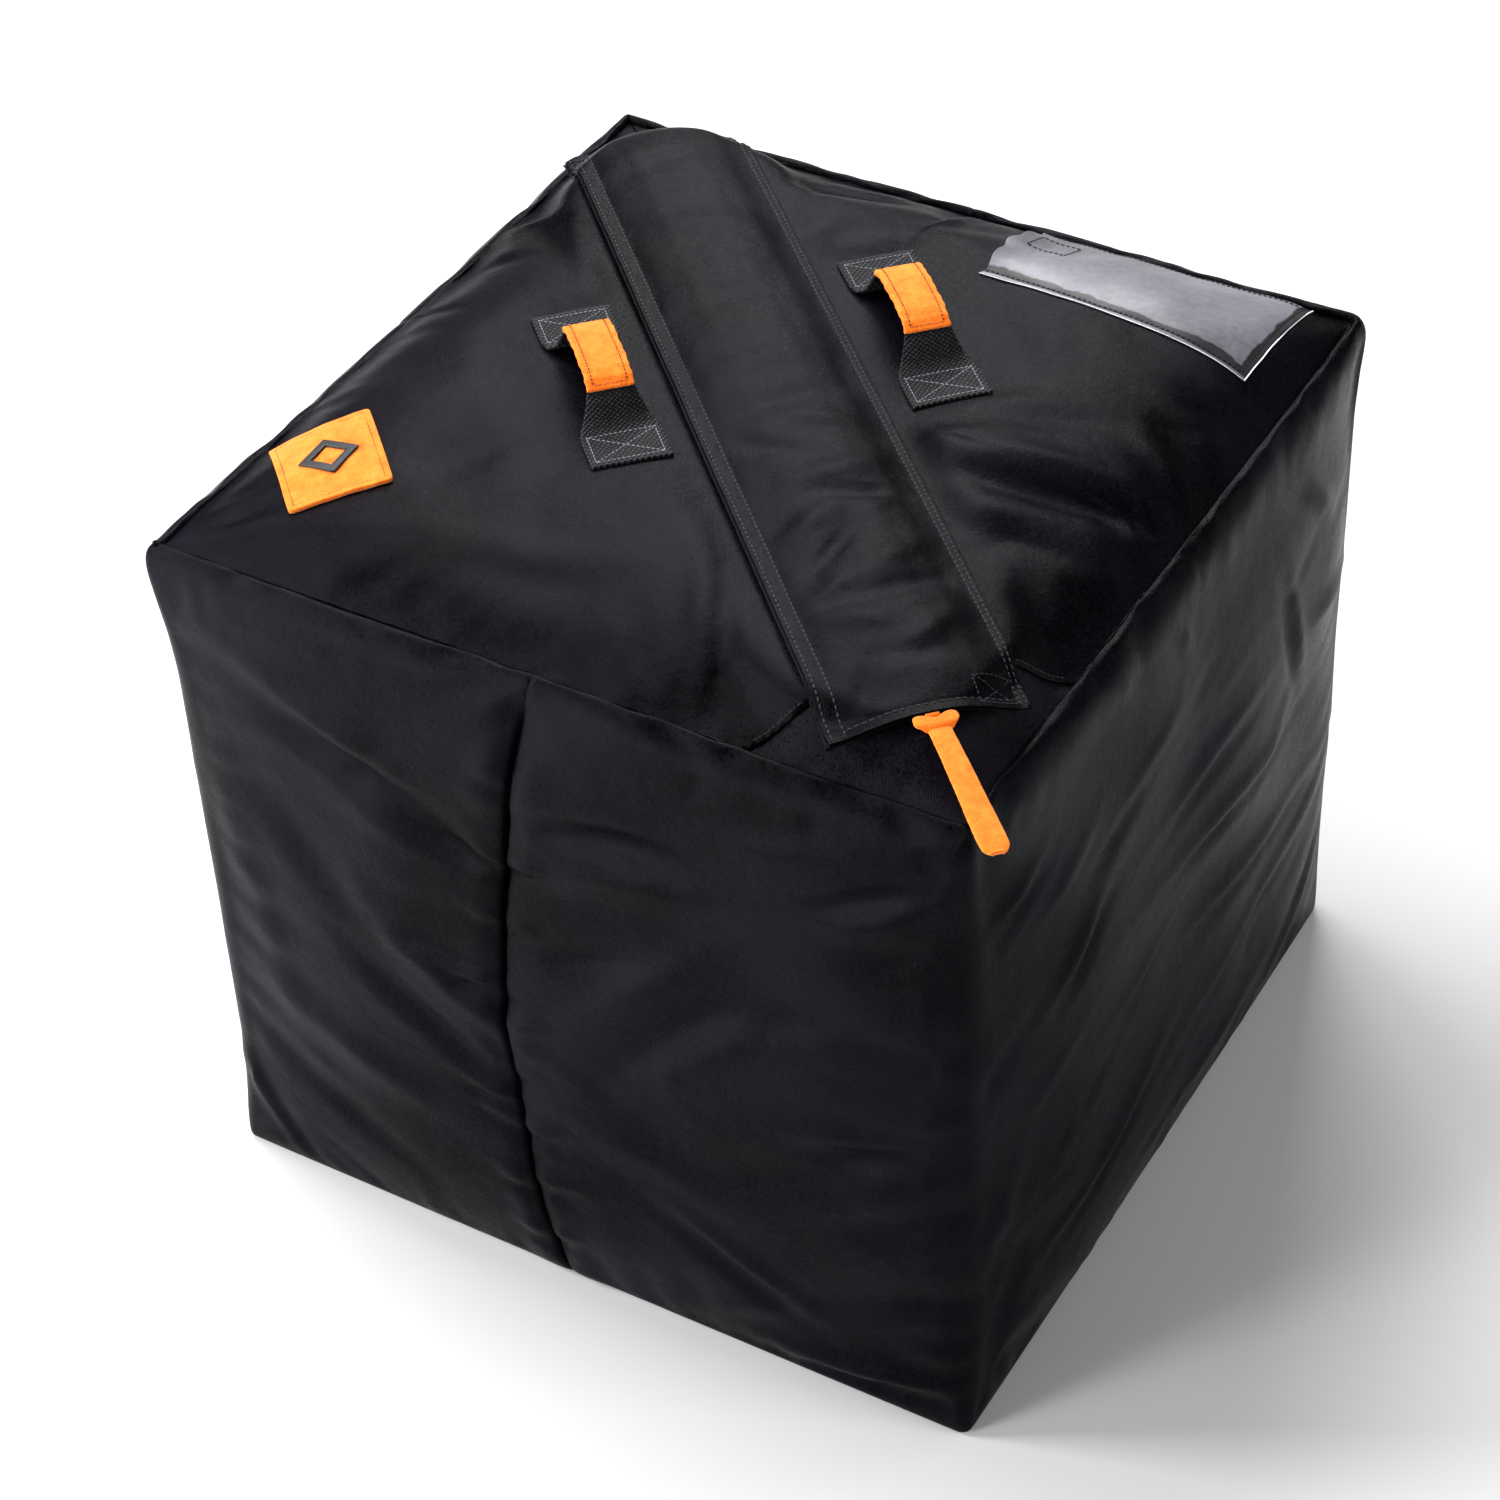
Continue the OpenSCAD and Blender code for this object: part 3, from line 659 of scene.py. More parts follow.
def build_wall():
    """The side band as rows x columns x 3, in mm, its unrolled position and its folds alone."""
    offs, zs, along_profile = profile()
    rows = len(zs)
    grid, unroll, relief = [], [], []
    fade = smoothstep(0.5, 14, zs) * (1 - 0.9 * smoothstep(EDGE_Z - 20, EDGE_Z + 1, zs))
    belly = BELLY * (0.35 + 0.65 * np.sin(math.pi * np.clip(zs / EDGE_Z, 0, 1)) ** 0.7)
    belly = belly * np.clip(zs / 60, 0, 1) ** 0.5
    for face in range(4):
        along, out = face_frame(face)
        out2 = face_frame((face + 1) % 4)[1]
        before = corner_radius((face + 3) % 4, zs)
        after = corner_radius(face, zs)
        for s in S_LINES:
            r = np.where(s > 0, after, before)
            x = s * (HALF - r) / STRAIGHT
            shift = seam_x(zs) if face == 0 else 5 * np.sin(zs / 70.0) * (face == 2)
            x = x + shift * (1 - abs(s / STRAIGHT) ** 2)
            pillow = belly * (1 - abs(s / STRAIGHT) ** 2.6)
            pillow = pillow * (1 - 0.8 * smoothstep(EDGE_Z - 90, EDGE_Z, zs))
            groove = np.zeros(rows)
            if face in (0, 2):
                groove = -5.0 * math.exp(-(s / 1.7) ** 2) + 3.0 * math.exp(-((abs(s) - 13) / 12) ** 2)
                groove = groove * (1 - 0.9 * smoothstep(EDGE_Z - 50, EDGE_Z - 8, zs))
                groove = groove * smoothstep(0, 10, zs)
            folds = wall_folds(face, x, zs) * fade
            off = offs + pillow + groove + folds
            relief.append(folds[:, None] * np.append(out, 0.0))
            grid.append(np.column_stack([x[:, None] * along + (HALF + off)[:, None] * out, zs]))
            unroll.append(np.column_stack([face * 2 * HALF + x, along_profile]))
        end = wall_folds(face, HALF - after * 0.5, zs) * 0.5
        start = wall_folds((face + 1) % 4, -HALF + corner_radius(face, zs) * 0.5, zs) * 0.5
        for turn in ARC_TURNS:
            a = math.radians(turn)
            mix = turn / 90
            off = offs + fade * (end * (1 - mix) + start * mix)
            ray = math.cos(a) * out + math.sin(a) * out2
            centre = (HALF - after)[:, None] * (out + out2)
            grid.append(np.column_stack([centre + (after + off)[:, None] * ray, zs]))
            relief.append((off - offs)[:, None] * np.append(ray, 0.0))
            unrolled = np.full(rows, face * 2 * HALF + STRAIGHT + mix * 30)
            unroll.append(np.column_stack([unrolled, along_profile]))
    relief = np.stack(relief, 1)
    relief[-1] = 0
    return np.stack(grid, 1), np.stack(unroll, 1), relief


def border_loop():
    """Wall columns round the lid, starting at the corner between the left and front walls."""
    total = 4 * FACE_COLS
    start = total - 3                      # the middle one of the last corner's five columns
    return [(start + k) % total for k in range(total)]


def patch_inside(rim):
    """Fills a loop of 4 x FACE_COLS rim points with a square grid that keeps their spacing."""
    m = FACE_COLS
    front, right_, back_, left_ = (rim[i * m:(i + 1) * m] for i in range(4))
    front = np.vstack([front, right_[:1]])
    right_ = np.vstack([right_, back_[:1]])
    back_ = np.vstack([back_, left_[:1]])[::-1]
    left_ = np.vstack([left_, rim[:1]])[::-1]
    u = 0.5 * (front[:, 0] + back_[:, 0])
    v = 0.5 * (left_[:, 1] + right_[:, 1])
    u = ((u - u[0]) / (u[-1] - u[0]))[None, :, None]
    v = ((v - v[0]) / (v[-1] - v[0]))[:, None, None]
    corners = (1 - u) * (1 - v) * front[0] + u * (1 - v) * front[-1]
    corners = corners + (1 - u) * v * back_[0] + u * v * back_[-1]
    sides = (1 - u) * left_[:, None] + u * right_[:, None]
    return (1 - v) * front[None] + v * back_[None] + sides - corners


def build_lid(wall):
    """The lid as a square grid inside the band's top row, and its folds alone."""
    rim = wall[-1, border_loop()]
    grid = patch_inside(rim)
    x, y = grid[..., 0], grid[..., 1]
    folds = lid_folds(x, y)
    inner = np.ones(x.shape, bool)
    inner[0], inner[-1], inner[:, 0], inner[:, -1] = False, False, False, False
    grid[..., 2] = np.where(inner, lid_height(x, y) + folds, SEAM_Z)
    relief = np.zeros(grid.shape)
    relief[..., 2] = np.where(inner, folds, 0)
    return grid, relief


def build_bottom(wall):
    grid = patch_inside(wall[0, border_loop()])
    x, y = grid[..., 0], grid[..., 1]
    e = HALF - 4 - np.maximum(np.abs(x), np.abs(y))
    uneven = 0.25 * np.abs(blobs(x, y, 50, 40, 1.0, (-260, 260), (-260, 260), 51))
    grid[..., 2] = 0.6 + 0.9 * np.exp(-(e / 5) ** 2) * (e > 0.5) + uneven
    return grid


SWELL_FRAMES = 14
SWELL_PRESSURE = 3.0
LID_CAP, WALL_CAP = 3.5, 8.0              # how far the swelling may move a point, in mm
WALL_KEPT, LID_KEPT = 0.85, 0.55          # share of each fold put back afterwards


def settle(wall, lid, wall_relief, lid_relief):
    """Cloth simulation of walls and lid as one skin: air pressure swells it between its seams."""
    rows, cols = wall.shape[:2]
    m = lid.shape[0]
    wall_index = np.arange(rows * cols).reshape(rows, cols)
    lid_index = np.full((m, m), -1)
    loop = border_loop()
    ring = [(0, k) for k in range(m - 1)] + [(k, m - 1) for k in range(m - 1)]
    ring += [(m - 1, m - 1 - k) for k in range(m - 1)] + [(m - 1 - k, 0) for k in range(m - 1)]
    for (i, j), col in zip(ring, loop):
        lid_index[i, j] = wall_index[-1, col]
    free = lid_index < 0
    lid_index[free] = rows * cols + np.arange(free.sum())
    verts = np.vstack([wall.reshape(-1, 3), lid[free]])
    wall_quads = grid_faces(rows, cols, wrap=True)
    lid_quads = lid_index.ravel()[grid_faces(m, m)]
    ob = new_object("skin", verts * MM, np.vstack([wall_quads, lid_quads]), smooth=False)
    n, d = turned(verts[:, 0], verts[:, 1])
    pin = np.zeros(len(verts))
    pin[wall_index[:3].ravel()] = 1
    pin[wall_index[-1]] = 1
    pin[wall_index[-2]] = 0.6
    for face in (0, 2):
        pin[wall_index[:, face * FACE_COLS + MIDDLE]] = 1
        for k, weight in ((1, 0.9), (2, 0.7), (3, 0.5), (4, 0.3)):
            pin[wall_index[:, face * FACE_COLS + MIDDLE + k]] = weight
            pin[wall_index[:, face * FACE_COLS + MIDDLE - k]] = weight
    for face in range(4):
        first = face * FACE_COLS + len(S_LINES)
        for k, weight in enumerate((0.3, 0.6, 0.8, 0.9, 0.9, 0.9, 0.8, 0.6, 0.3), -2):
            edge = wall_index[:, (first + k) % cols]
            pin[edge] = np.maximum(pin[edge], weight)
    on_lid = (verts[:, 2] > EDGE_Z) * (edge_distance(verts[:, 0], verts[:, 1]) > 8)
    pin = np.maximum(pin, falloff(58, 78, np.abs(n)) * on_lid)       # the ridge under the flap
    group = ob.vertex_groups.new(name="pin")
    for weight in np.unique(np.round(pin[pin > 0], 1)):
        members = np.flatnonzero(np.round(pin, 1) == weight)
        group.add([int(i) for i in members], float(weight), "REPLACE")
    cloth = ob.modifiers.new("cloth", "CLOTH")
    c = cloth.settings
    c.quality = 6
    c.mass = 0.35
    c.tension_stiffness = 30
    c.compression_stiffness = 22
    c.shear_stiffness = 12
    c.bending_stiffness = 1.6
    c.air_damping = 2
    c.use_pressure = True
    c.uniform_pressure_force = SWELL_PRESSURE
    c.shrink_min = -0.006
    c.vertex_group_mass = "pin"
    c.effector_weights.gravity = 0
    cloth.collision_settings.use_collision = False
    cloth.point_cache.frame_start = 1
    cloth.point_cache.frame_end = SWELL_FRAMES
    scene = bpy.context.scene
    for f in range(1, SWELL_FRAMES + 1):
        scene.frame_set(f)
    dg = bpy.context.evaluated_depsgraph_get()
    done = ob.evaluated_get(dg).data
    co = np.zeros(len(verts) * 3)
    done.vertices.foreach_get("co", co)
    co = co.reshape(-1, 3) / MM
    bpy.data.objects.remove(ob)
    scene.frame_set(1)
    move = co - verts
    size = np.linalg.norm(move, axis=1)
    cap = np.full(len(verts), LID_CAP)
    cap[wall_index.ravel()] = WALL_CAP
    move *= (cap * np.tanh(size / cap) / np.maximum(size, 1e-9))[:, None]
    verts = verts + move * (1 - pin)[:, None]
    # the swelling smooths the folds, so part of each is put back
    return verts[wall_index] + WALL_KEPT * wall_relief, verts[lid_index] + LID_KEPT * lid_relief


def piece(name, verts, faces, material, body="bag", uv=None, smooth=True):
    """A new piece, riding on a body."""
    ob = new_object(name, verts, faces, smooth)
    if uv is not None:
        set_uv(ob, uv)
    ob.data.materials.append(material)
    if body:
        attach(ob, body)
    return ob


def grid_piece(name, xyz, material, body="bag", uv=None, wrap=False):
    """A piece from a grid of points in mm; wrap closes each row into a ring."""
    rows, cols = xyz.shape[:2]
    flat_uv = None if uv is None else np.asarray(uv).reshape(-1, 2)
    faces = grid_faces(rows, cols, wrap)
    return piece(name, xyz.reshape(-1, 3) * MM, faces, material, body, flat_uv)


def refine(ob, levels=1, thickness=None, offset=-1.0):
    """Subdivides a piece, gives it thickness, and applies both."""
    if levels:
        m = ob.modifiers.new("subdivision", "SUBSURF")
        m.levels = m.render_levels = levels
        m.boundary_smooth = "PRESERVE_CORNERS"
    if thickness:
        m = ob.modifiers.new("thickness", "SOLIDIFY")
        m.thickness = thickness * MM
        m.offset = offset
    apply_modifiers(ob)
    ob.data.polygons.foreach_set("use_smooth", [True] * len(ob.data.polygons))
    return ob


# ---------------------------------------------------------------- walls, lid and base
wall_xyz, wall_unroll, wall_relief = build_wall()
lid_xyz, lid_relief = build_lid(wall_xyz)
bottom_xyz = build_bottom(wall_xyz)
wall_xyz, lid_xyz = settle(wall_xyz, lid_xyz, wall_relief, lid_relief)


def inward(grid, depth):
    """The wall's surface smoothed and moved inward by a depth in mm."""
    g = grid.copy()
    for _ in range(6):
        g[1:-1] = (g[:-2] + g[2:] + np.roll(g, 1, 1)[1:-1] + np.roll(g, -1, 1)[1:-1]) / 4
    around = (np.roll(g, -1, 1) - np.roll(g, 1, 1)) / 2
    normal = np.cross(around, np.gradient(g, axis=0))
    normal /= np.maximum(np.linalg.norm(normal, axis=-1, keepdims=True), 1e-9)
    return g - normal * depth


CLOTH, TAPE, LINING = 1.3, 1.0, 0.9         # thicknesses, in mm
total_cols = wall_xyz.shape[1]
ROWS_TOP = len(wall_xyz) - 10
foam_xyz, lining_xyz, binding_xyz = (inward(wall_xyz, depth) for depth in (8.0, 13.6, 14.9))
seam_a, seam_b = MIDDLE, 2 * FACE_COLS + MIDDLE
right_cols = list(range(seam_a, seam_b + 1))
left_cols = [c % total_cols for c in range(seam_b, total_cols + seam_a + 1)]
for name, cols in (("left", left_cols), ("right", right_cols)):
    uv = wall_unroll[:, cols] * MM
    if name == "left":                      # unrolled without a jump where the columns start again
        uv[:, :total_cols - seam_b, 0] -= 8 * HALF * MM
    side = grid_piece(f"side_panel_{name}_cloth", wall_xyz[:, cols], fabric_mat, "bag", uv)
    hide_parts(f"side_panel_{name}")
    refine(side, 1, CLOTH)
    layer = foam_xyz[:, cols][5:ROWS_TOP + 3:2, 1:-1:2]
    pad = grid_piece(f"side_pad_{name}_foam", layer, foam_mat, "bag")
    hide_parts(f"side_pad_{name}")
    refine(pad, 0, 4.5)

lining = grid_piece("wall_lining_cloth", lining_xyz[6:ROWS_TOP:2], lining_mat, "bag",
    wrap=True)
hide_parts("wall_lining")
refine(lining, 0, LINING)
for node, low, high in (("bottom_seam_binding", 6, 9), ("top_seam_binding", ROWS_TOP - 3, ROWS_TOP)):
    tape = grid_piece(f"{node}_tape", binding_xyz[low:high], binding_mat, "bag", wrap=True)
    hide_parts(node)
    refine(tape, 0, TAPE)
seam_tapes = []
for face in (0, 2):
    middle = face * FACE_COLS + MIDDLE
    seam_tapes.append(binding_xyz[9:ROWS_TOP - 3, middle - 3:middle + 4])
rows_, cols_ = seam_tapes[0].shape[:2]
quads = grid_faces(rows_, cols_)
tape = piece("side_seam_tapes", np.vstack([t.reshape(-1, 3) for t in seam_tapes]) * MM,
    np.vstack([quads, quads + rows_ * cols_]), binding_mat, "bag")
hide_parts("side_seam_bindings")
refine(tape, 0, TAPE)

bottom = grid_piece("bottom_panel_cloth", bottom_xyz[::-1], fabric_mat, "bag",
    bottom_xyz[::-1, :, :2] * MM)
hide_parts("bottom_panel")
refine(bottom, 0, 1.0)
PAD_HALF = 266.0
pad_lines = np.linspace(-PAD_HALF, PAD_HALF, 36)
px, py = np.meshgrid(pad_lines, pad_lines, indexing="xy")
pz = 8.6 - 5.0 * smoothstep(14, 0, PAD_HALF - np.maximum(np.abs(px), np.abs(py)))
pad = grid_piece("bottom_pad_foam", np.stack([px, py, pz], -1), foam_mat, "bag")
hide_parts("bottom_pad")
refine(pad, 0, 2.0)

# kept low where the handles tip over
lid_n, lid_d = turned(lid_xyz[..., 0], lid_xyz[..., 1])
under_handle = band(50, 66, 150, 175, np.abs(lid_n)) * band(-60, -36, 118, 142, lid_d)
lid_xyz[..., 2] -= under_handle * np.clip(lid_xyz[..., 2] - LID_Z - 0.8, 0, None) * 0.92

# the whole lid, subdivided; everything on it is laid on this surface
whole = grid_piece("whole_lid", lid_xyz, fabric_mat, None, lid_xyz[..., :2] * MM)
refine(whole, 1)
lid_tree = BVHTree.FromObject(whole, bpy.context.evaluated_depsgraph_get())
TOP = Vector((0, 0, 1))


def lid_at(n, d, lift=0.0):
    """Point on the lid's cloth, in metres, at a place along the zip."""
    x, y = row(n, d)
    limit = LID_HALF - 1.0
    x, y = max(-limit, min(limit, x)), max(-limit, min(limit, y))
    hit = lid_tree.ray_cast(Vector((x * MM, y * MM, 1.0)), -TOP)[0]
    z = hit.z if hit is not None else SEAM_Z * MM
    return at(n, d, z / MM + lift)


def cut_lid():
    """Cuts the lid along the zip's mouth and the seam of the corner panel: three sets of faces."""
    bm = bmesh.new()
    bm.from_mesh(whole.data)
    across = Vector((1, 1, 0)).normalized()
    along = Vector((-1, 1, 0)).normalized()
    for offset, normal in ((MOUTH, across), (-MOUTH, across), (0, across), (ZIP_FRONT, along),
            (ZIP_BACK, along)):
        bmesh.ops.bisect_plane(bm, geom=bm.verts[:] + bm.edges[:] + bm.faces[:],
            plane_co=normal * offset * MM, plane_no=normal, dist=1e-6)
    uv_layer = bm.loops.layers.uv["fabric"]
    sets = {"corner": [], "left": [], "right": []}
    for f in bm.faces:
        c = f.calc_center_median() / MM
        n, d = turned(c.x, c.y)
        if d < ZIP_FRONT:
            sets["corner"].append(f)
        elif abs(n) < MOUTH and d < ZIP_BACK:
            continue
        else:
            sets["left" if n < 0 else "right"].append(f)
    out = {}
    for name, faces in sets.items():
        index, verts, uvs, polys = {}, [], [], []
        for f in faces:
            poly = []
            for loop in f.loops:
                v = loop.vert
                if v.index not in index:
                    index[v.index] = len(verts)
                    verts.append(v.co.copy())
                    uvs.append(loop[uv_layer].uv.copy())
                poly.append(index[v.index])
            polys.append(poly)
        out[name] = (verts, polys, uvs)
    bm.free()
    return out


CORNER_REACH = 2 * (LID_HALF - 12) / ROOT2      # of the layers under the lid, along n or d
for name, (verts, polys, uvs) in cut_lid().items():
    if name == "corner":                        # tucked under the two halves at its seam
        node, material, kind = "front_corner_panel", corner_mat, "corner_fabric"
        for v in verts:
            n, d = turned(v.x / MM, v.y / MM)
            v.z -= CLOTH * MM * smoothstep(-300, ZIP_FRONT, d)
    else:
        node, material, kind = f"lid_panel_{name}", fabric_mat, "outer_fabric"
    panel = piece(f"{node}_cloth", verts, polys, material, "bag", uvs)
    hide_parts(node)
    refine(panel, 0, CLOTH)
    if name == "corner":
        continue
    # foam and lining under this half of the lid, clear of the zip's tapes
    side = -1 if name == "left" else 1
    for node, drop, thick, material, kind in ((f"lid_pad_{name}", 3.4, 5.0, foam_mat, "foam"),
            (f"lid_lining_{name}", 9.6, LINING, lining_mat, "lining_fabric")):
        layer = []
        for n in np.linspace(20.5, CORNER_REACH - 6, 34):
            low = max(n - CORNER_REACH, ZIP_FRONT + 2)
            high = CORNER_REACH - n
            layer.append([tuple(lid_at(side * n, low + (high - low) * (t + 1) / 2, -drop) / MM)
                for t in np.linspace(-1, 1, 44)])
        layer = np.array(layer)
        under = grid_piece(f"{node}_{kind}", layer if side < 0 else layer[::-1], material, "bag")
        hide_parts(node)
        refine(under, 0, thick)
bpy.data.objects.remove(whole)

# ---------------------------------------------------------------- stitches
STITCH_SIDES = 6
STITCH_SHAPE = ((-0.5, 0.35), (-0.3, 0.95), (0.0, 1.15), (0.3, 0.95), (0.5, 0.35))   # place, width


def stitch_run(points, pitch=3.0, length=2.3, radius=0.28):
    """Small lozenge-shaped thread bumps along a polyline of points in metres, as verts and faces."""
    pts = [Vector(p) for p in points]
    seg = [(b - a).length for a, b in zip(pts, pts[1:])]
    total = sum(seg)
    count = max(1, int(total / (pitch * MM)))
    verts, faces = [], []
    for k in range(count):
        target = (k + 0.5) / count * total
        run, i = 0.0, 0
        while i < len(seg) - 1 and run + seg[i] < target:
            run += seg[i]
            i += 1
        t = (target - run) / max(seg[i], 1e-9)
        mid = pts[i].lerp(pts[i + 1], t)
        along = (pts[i + 1] - pts[i]).normalized()
        side = along.cross(TOP).normalized()
        up_ = side.cross(along).normalized()
        start = len(verts)
        for x, w in STITCH_SHAPE:
            drop = -0.25 * radius * MM * (2 * abs(x)) ** 3
            for a in range(STITCH_SIDES):
                ang = a * 2 * math.pi / STITCH_SIDES
                verts.append(mid + along * (x * length * MM) + side * (math.cos(ang) * radius * w * MM)
                    + up_ * (math.sin(ang) * radius * w * MM + drop))
        rings = grid_faces(len(STITCH_SHAPE), STITCH_SIDES, wrap=True) + start
        faces += [tuple(int(i) for i in quad) for quad in rings]
        faces.append(tuple(start + a for a in reversed(range(STITCH_SIDES))))
        faces.append(tuple(len(verts) - STITCH_SIDES + a for a in range(STITCH_SIDES)))
    return verts, faces


class Stitches:
    """Collects runs of stitches that go on one piece."""

    def __init__(self):
        self.verts, self.faces = [], []

    def add(self, points, **k):
        v, f = stitch_run(points, **k)
        base = len(self.verts)
        self.verts += v
        self.faces += [tuple(i + base for i in poly) for poly in f]

    def build(self, name, material, body="bag"):
        return piece(name, self.verts, self.faces, material, body)


def line(a, b, count=40):
    fractions = (k / count for k in range(count + 1))
    return [(a[0] + (b[0] - a[0]) * t, a[1] + (b[1] - a[1]) * t) for t in fractions]


def crossed_box(n0, n1, d0, d1, count=16):
    """Outline and both diagonals of a sewn box, as three runs of points."""
    corners = [(n0, d0), (n1, d0), (n1, d1), (n0, d1), (n0, d0)]
    outline = [corners[0]]
    for a, b in zip(corners, corners[1:]):
        outline += line(a, b, count)[1:]
    diagonal = count * 5 // 4
    return outline, line((n0, d0), (n1, d1), diagonal), line((n0, d1), (n1, d0), diagonal)


# ---------------------------------------------------------------- storm flap
FLAP_FOLDS = [
    # across the flap, mostly near its front end
    (-20, -66, -34, 60, 10, -2.4, 0.1), (12, -98, 10, 84, 12, 2.6, 0.12),
    (18, -124, -12, 62, 9, -3.0, 0.1), (-18, -142, 32, 58, 10, 2.4, -0.1),
    (-12, -170, 46, 70, 9, -3.0, -0.08), (20, -184, 24, 60, 12, 2.6, 0.1),
    (16, -214, 8, 92, 11, -3.0, 0.14), (-16, -236, -20, 56, 10, 2.2), (22, -252, 34, 60, 9, 2.0),
    (4, -270, -8, 70, 9, -1.6, 0.1), (-26, -284, 60, 50, 7, -1.6), (10, -20, 10, 90, 12, -1.8, 0.1),
    (-6, 22, 10, 90, 14, 1.6), (16, -46, -24, 60, 10, 1.6), (0, 96, 16, 90, 14, -1.4, 0.1),
    (4, 180, -12, 100, 16, 1.4), (0, 262, 14, 90, 12, -1.8, 0.1), (28, -134, 40, 44, 8, 1.2),
    (-24, -206, 30, 44, 7, 1.2),
]


def flap_top(n, d):
    """Height of the flap's outer cloth over the lid's smooth surface."""
    across = [-60, -57, -50.5, -47, -43.5, -36, -20, 0, 20, 36, 45, 50.5, 53.2, 56.2, 60]
    height = [5.3, 5.9, 6.1, 5.35, 6.6, 8.4, 11.4, 12.2, 11.2, 7.6, 4.0, 2.3, 1.55, 1.9, 1.5]
    body = np.interp(n, across, height)
    hem = np.minimum(d - FLAP_FRONT, FLAP_BACK - d)
    low = np.interp(n, [-60, -47, -24, -9, 9, 24, 45, 52, 60],
        [4.2, 4.4, 4.6, 6.4, 6.4, 4.4, 2.8, 2.2, 1.8])
    body = body + (np.minimum(low, body) - body) * falloff(0, 60, hem)
    dip = 0.7 * np.exp(-((hem - 7.5) / 1.8) ** 2) * falloff(49, 52, n)
    lip = 0.6 * smoothstep(10, 0, d - FLAP_FRONT) * falloff(30, 50, n)
    quiet = smoothstep(8, 22, hem) * band(-48, -36, 42, 51, n)
    folds = add_folds(n, d, FLAP_FOLDS) + blobs(n, d, 46, 24, 0.9, (-50, 50), (-310, 315), 61)
    edge_wave = 0.5 * np.sin(d / 23.0 + 1) + 0.35 * np.sin(d / 9.7) + 0.25 * np.sin(d / 5.1 + 2)
    edge = falloff(-50, -40, n) * 0.55 * edge_wave
    return body - dip + lip + folds * quiet + edge


def flap_base(n, d):
    """Smooth surface that the flap follows: it droops over the lid's back corner."""
    x, y = row(n, d)
    limit = LID_HALF - 3
    z = lid_height(np.clip(x, -limit, limit), np.clip(y, -limit, limit))
    over = np.maximum(np.maximum(np.abs(x), np.abs(y)) - limit, 0)
    stiff = LID_Z - 10 * smoothstep(16, 62, np.abs(n)) * smoothstep(-200, -300, d)
    stiff = stiff - 30 * smoothstep(-150, 0, d)
    return np.maximum(np.maximum(z, stiff), 512) - 0.6 * over


def bowed(n, d):
    """The hem at the front of the flap bows forward a little."""
    return d - 4 * np.clip(1 - (n / 60) ** 2, 0, 1) * smoothstep(-230, FLAP_FRONT, d)


def flap_grid(n_values, d_values, drop):
    n, d = np.meshgrid(n_values, d_values, indexing="xy")
    z = flap_base(n, d) + flap_top(n, d) - drop
    x, y = row(n, bowed(n, d))
    return np.stack([x, y, z], -1), np.stack([n, d], -1) * MM


def lines_between(low, high, step, extra=()):
    count = max(2, int(round((high - low) / step)))
    values = np.concatenate([np.linspace(low, high, count + 1), [e for e in extra if low < e < high]])
    values = np.unique(np.round(values, 3))
    keep = [values[0]]
    for v in values[1:]:
        if v - keep[-1] > 0.7:
            keep.append(v)
    keep[-1] = values[-1]
    return np.array(keep)


hem_lines = [FLAP_FRONT + k for k in (0.8, 2.4, 5, 7.5, 10, 12.5)]
hem_lines += [FLAP_BACK - k for k in (0.8, 2.4, 5, 7.5, 10)]
d_lines = lines_between(FLAP_FRONT, FLAP_BACK, 4.5, hem_lines)
n_lines = lines_between(FLAP_FREE + 1.6, FLAP_EDGE, 4.0,
    (-56.4, -52, -49, -47, -45, 51.5, 53.2, 55, 56.5, 58))
FACING_EDGE = 50.0

outer_xyz, outer_uv = flap_grid(n_lines, d_lines, 0.0)
flap = grid_piece("flap_outer_cloth", outer_xyz, flap_mat, None, outer_uv)
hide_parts("flap_outer", "flap_sewn_edge")
refine(flap, 1, 1.1)
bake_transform(flap)

facing_n = lines_between(FLAP_FREE, FACING_EDGE, 4.0, (-58.2, -56.5))
facing_xyz, facing_uv = flap_grid(facing_n, lines_between(FLAP_FRONT - 1.2, FLAP_BACK, 4.5), 1.45)
facing = grid_piece("flap_facing_cloth", facing_xyz, flap_mat, None, facing_uv)
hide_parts("flap_facing")
refine(facing, 1, 0.8)
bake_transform(facing)

hook_n = np.linspace(-56.5, -37.5, 6)
hook_xyz, hook_uv = flap_grid(hook_n, lines_between(*turned_span("flap_hook_strip", 1), 6), 2.5)
hook = grid_piece("flap_hook_tape", hook_xyz, hook_mat, "storm_flap", hook_uv)
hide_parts("flap_hook_strip")
refine(hook, 1, 1.1)
loop_d = lines_between(*turned_span("lid_loop_strip", 1), 6)
loop_xyz = np.array([[tuple(lid_at(n, d, 1.3) / MM) for n in hook_n] for d in loop_d])
loop_uv = np.array([[(n * MM, d * MM) for n in hook_n] for d in loop_d])
loop_tape = grid_piece("lid_loop_tape", loop_xyz, loop_mat, "bag", loop_uv)
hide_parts("lid_loop_strip")
refine(loop_tape, 1, 1.2)


def on_flap(points, lift=0.12):
    out = []
    for n, d in points:
        n, d = np.array([float(n)]), np.array([float(d)])
        z = float(flap_base(n, d)[0] + flap_top(n, d)[0])
        out.append(at(n[0], float(bowed(n, d)[0]), z + lift))
    return out


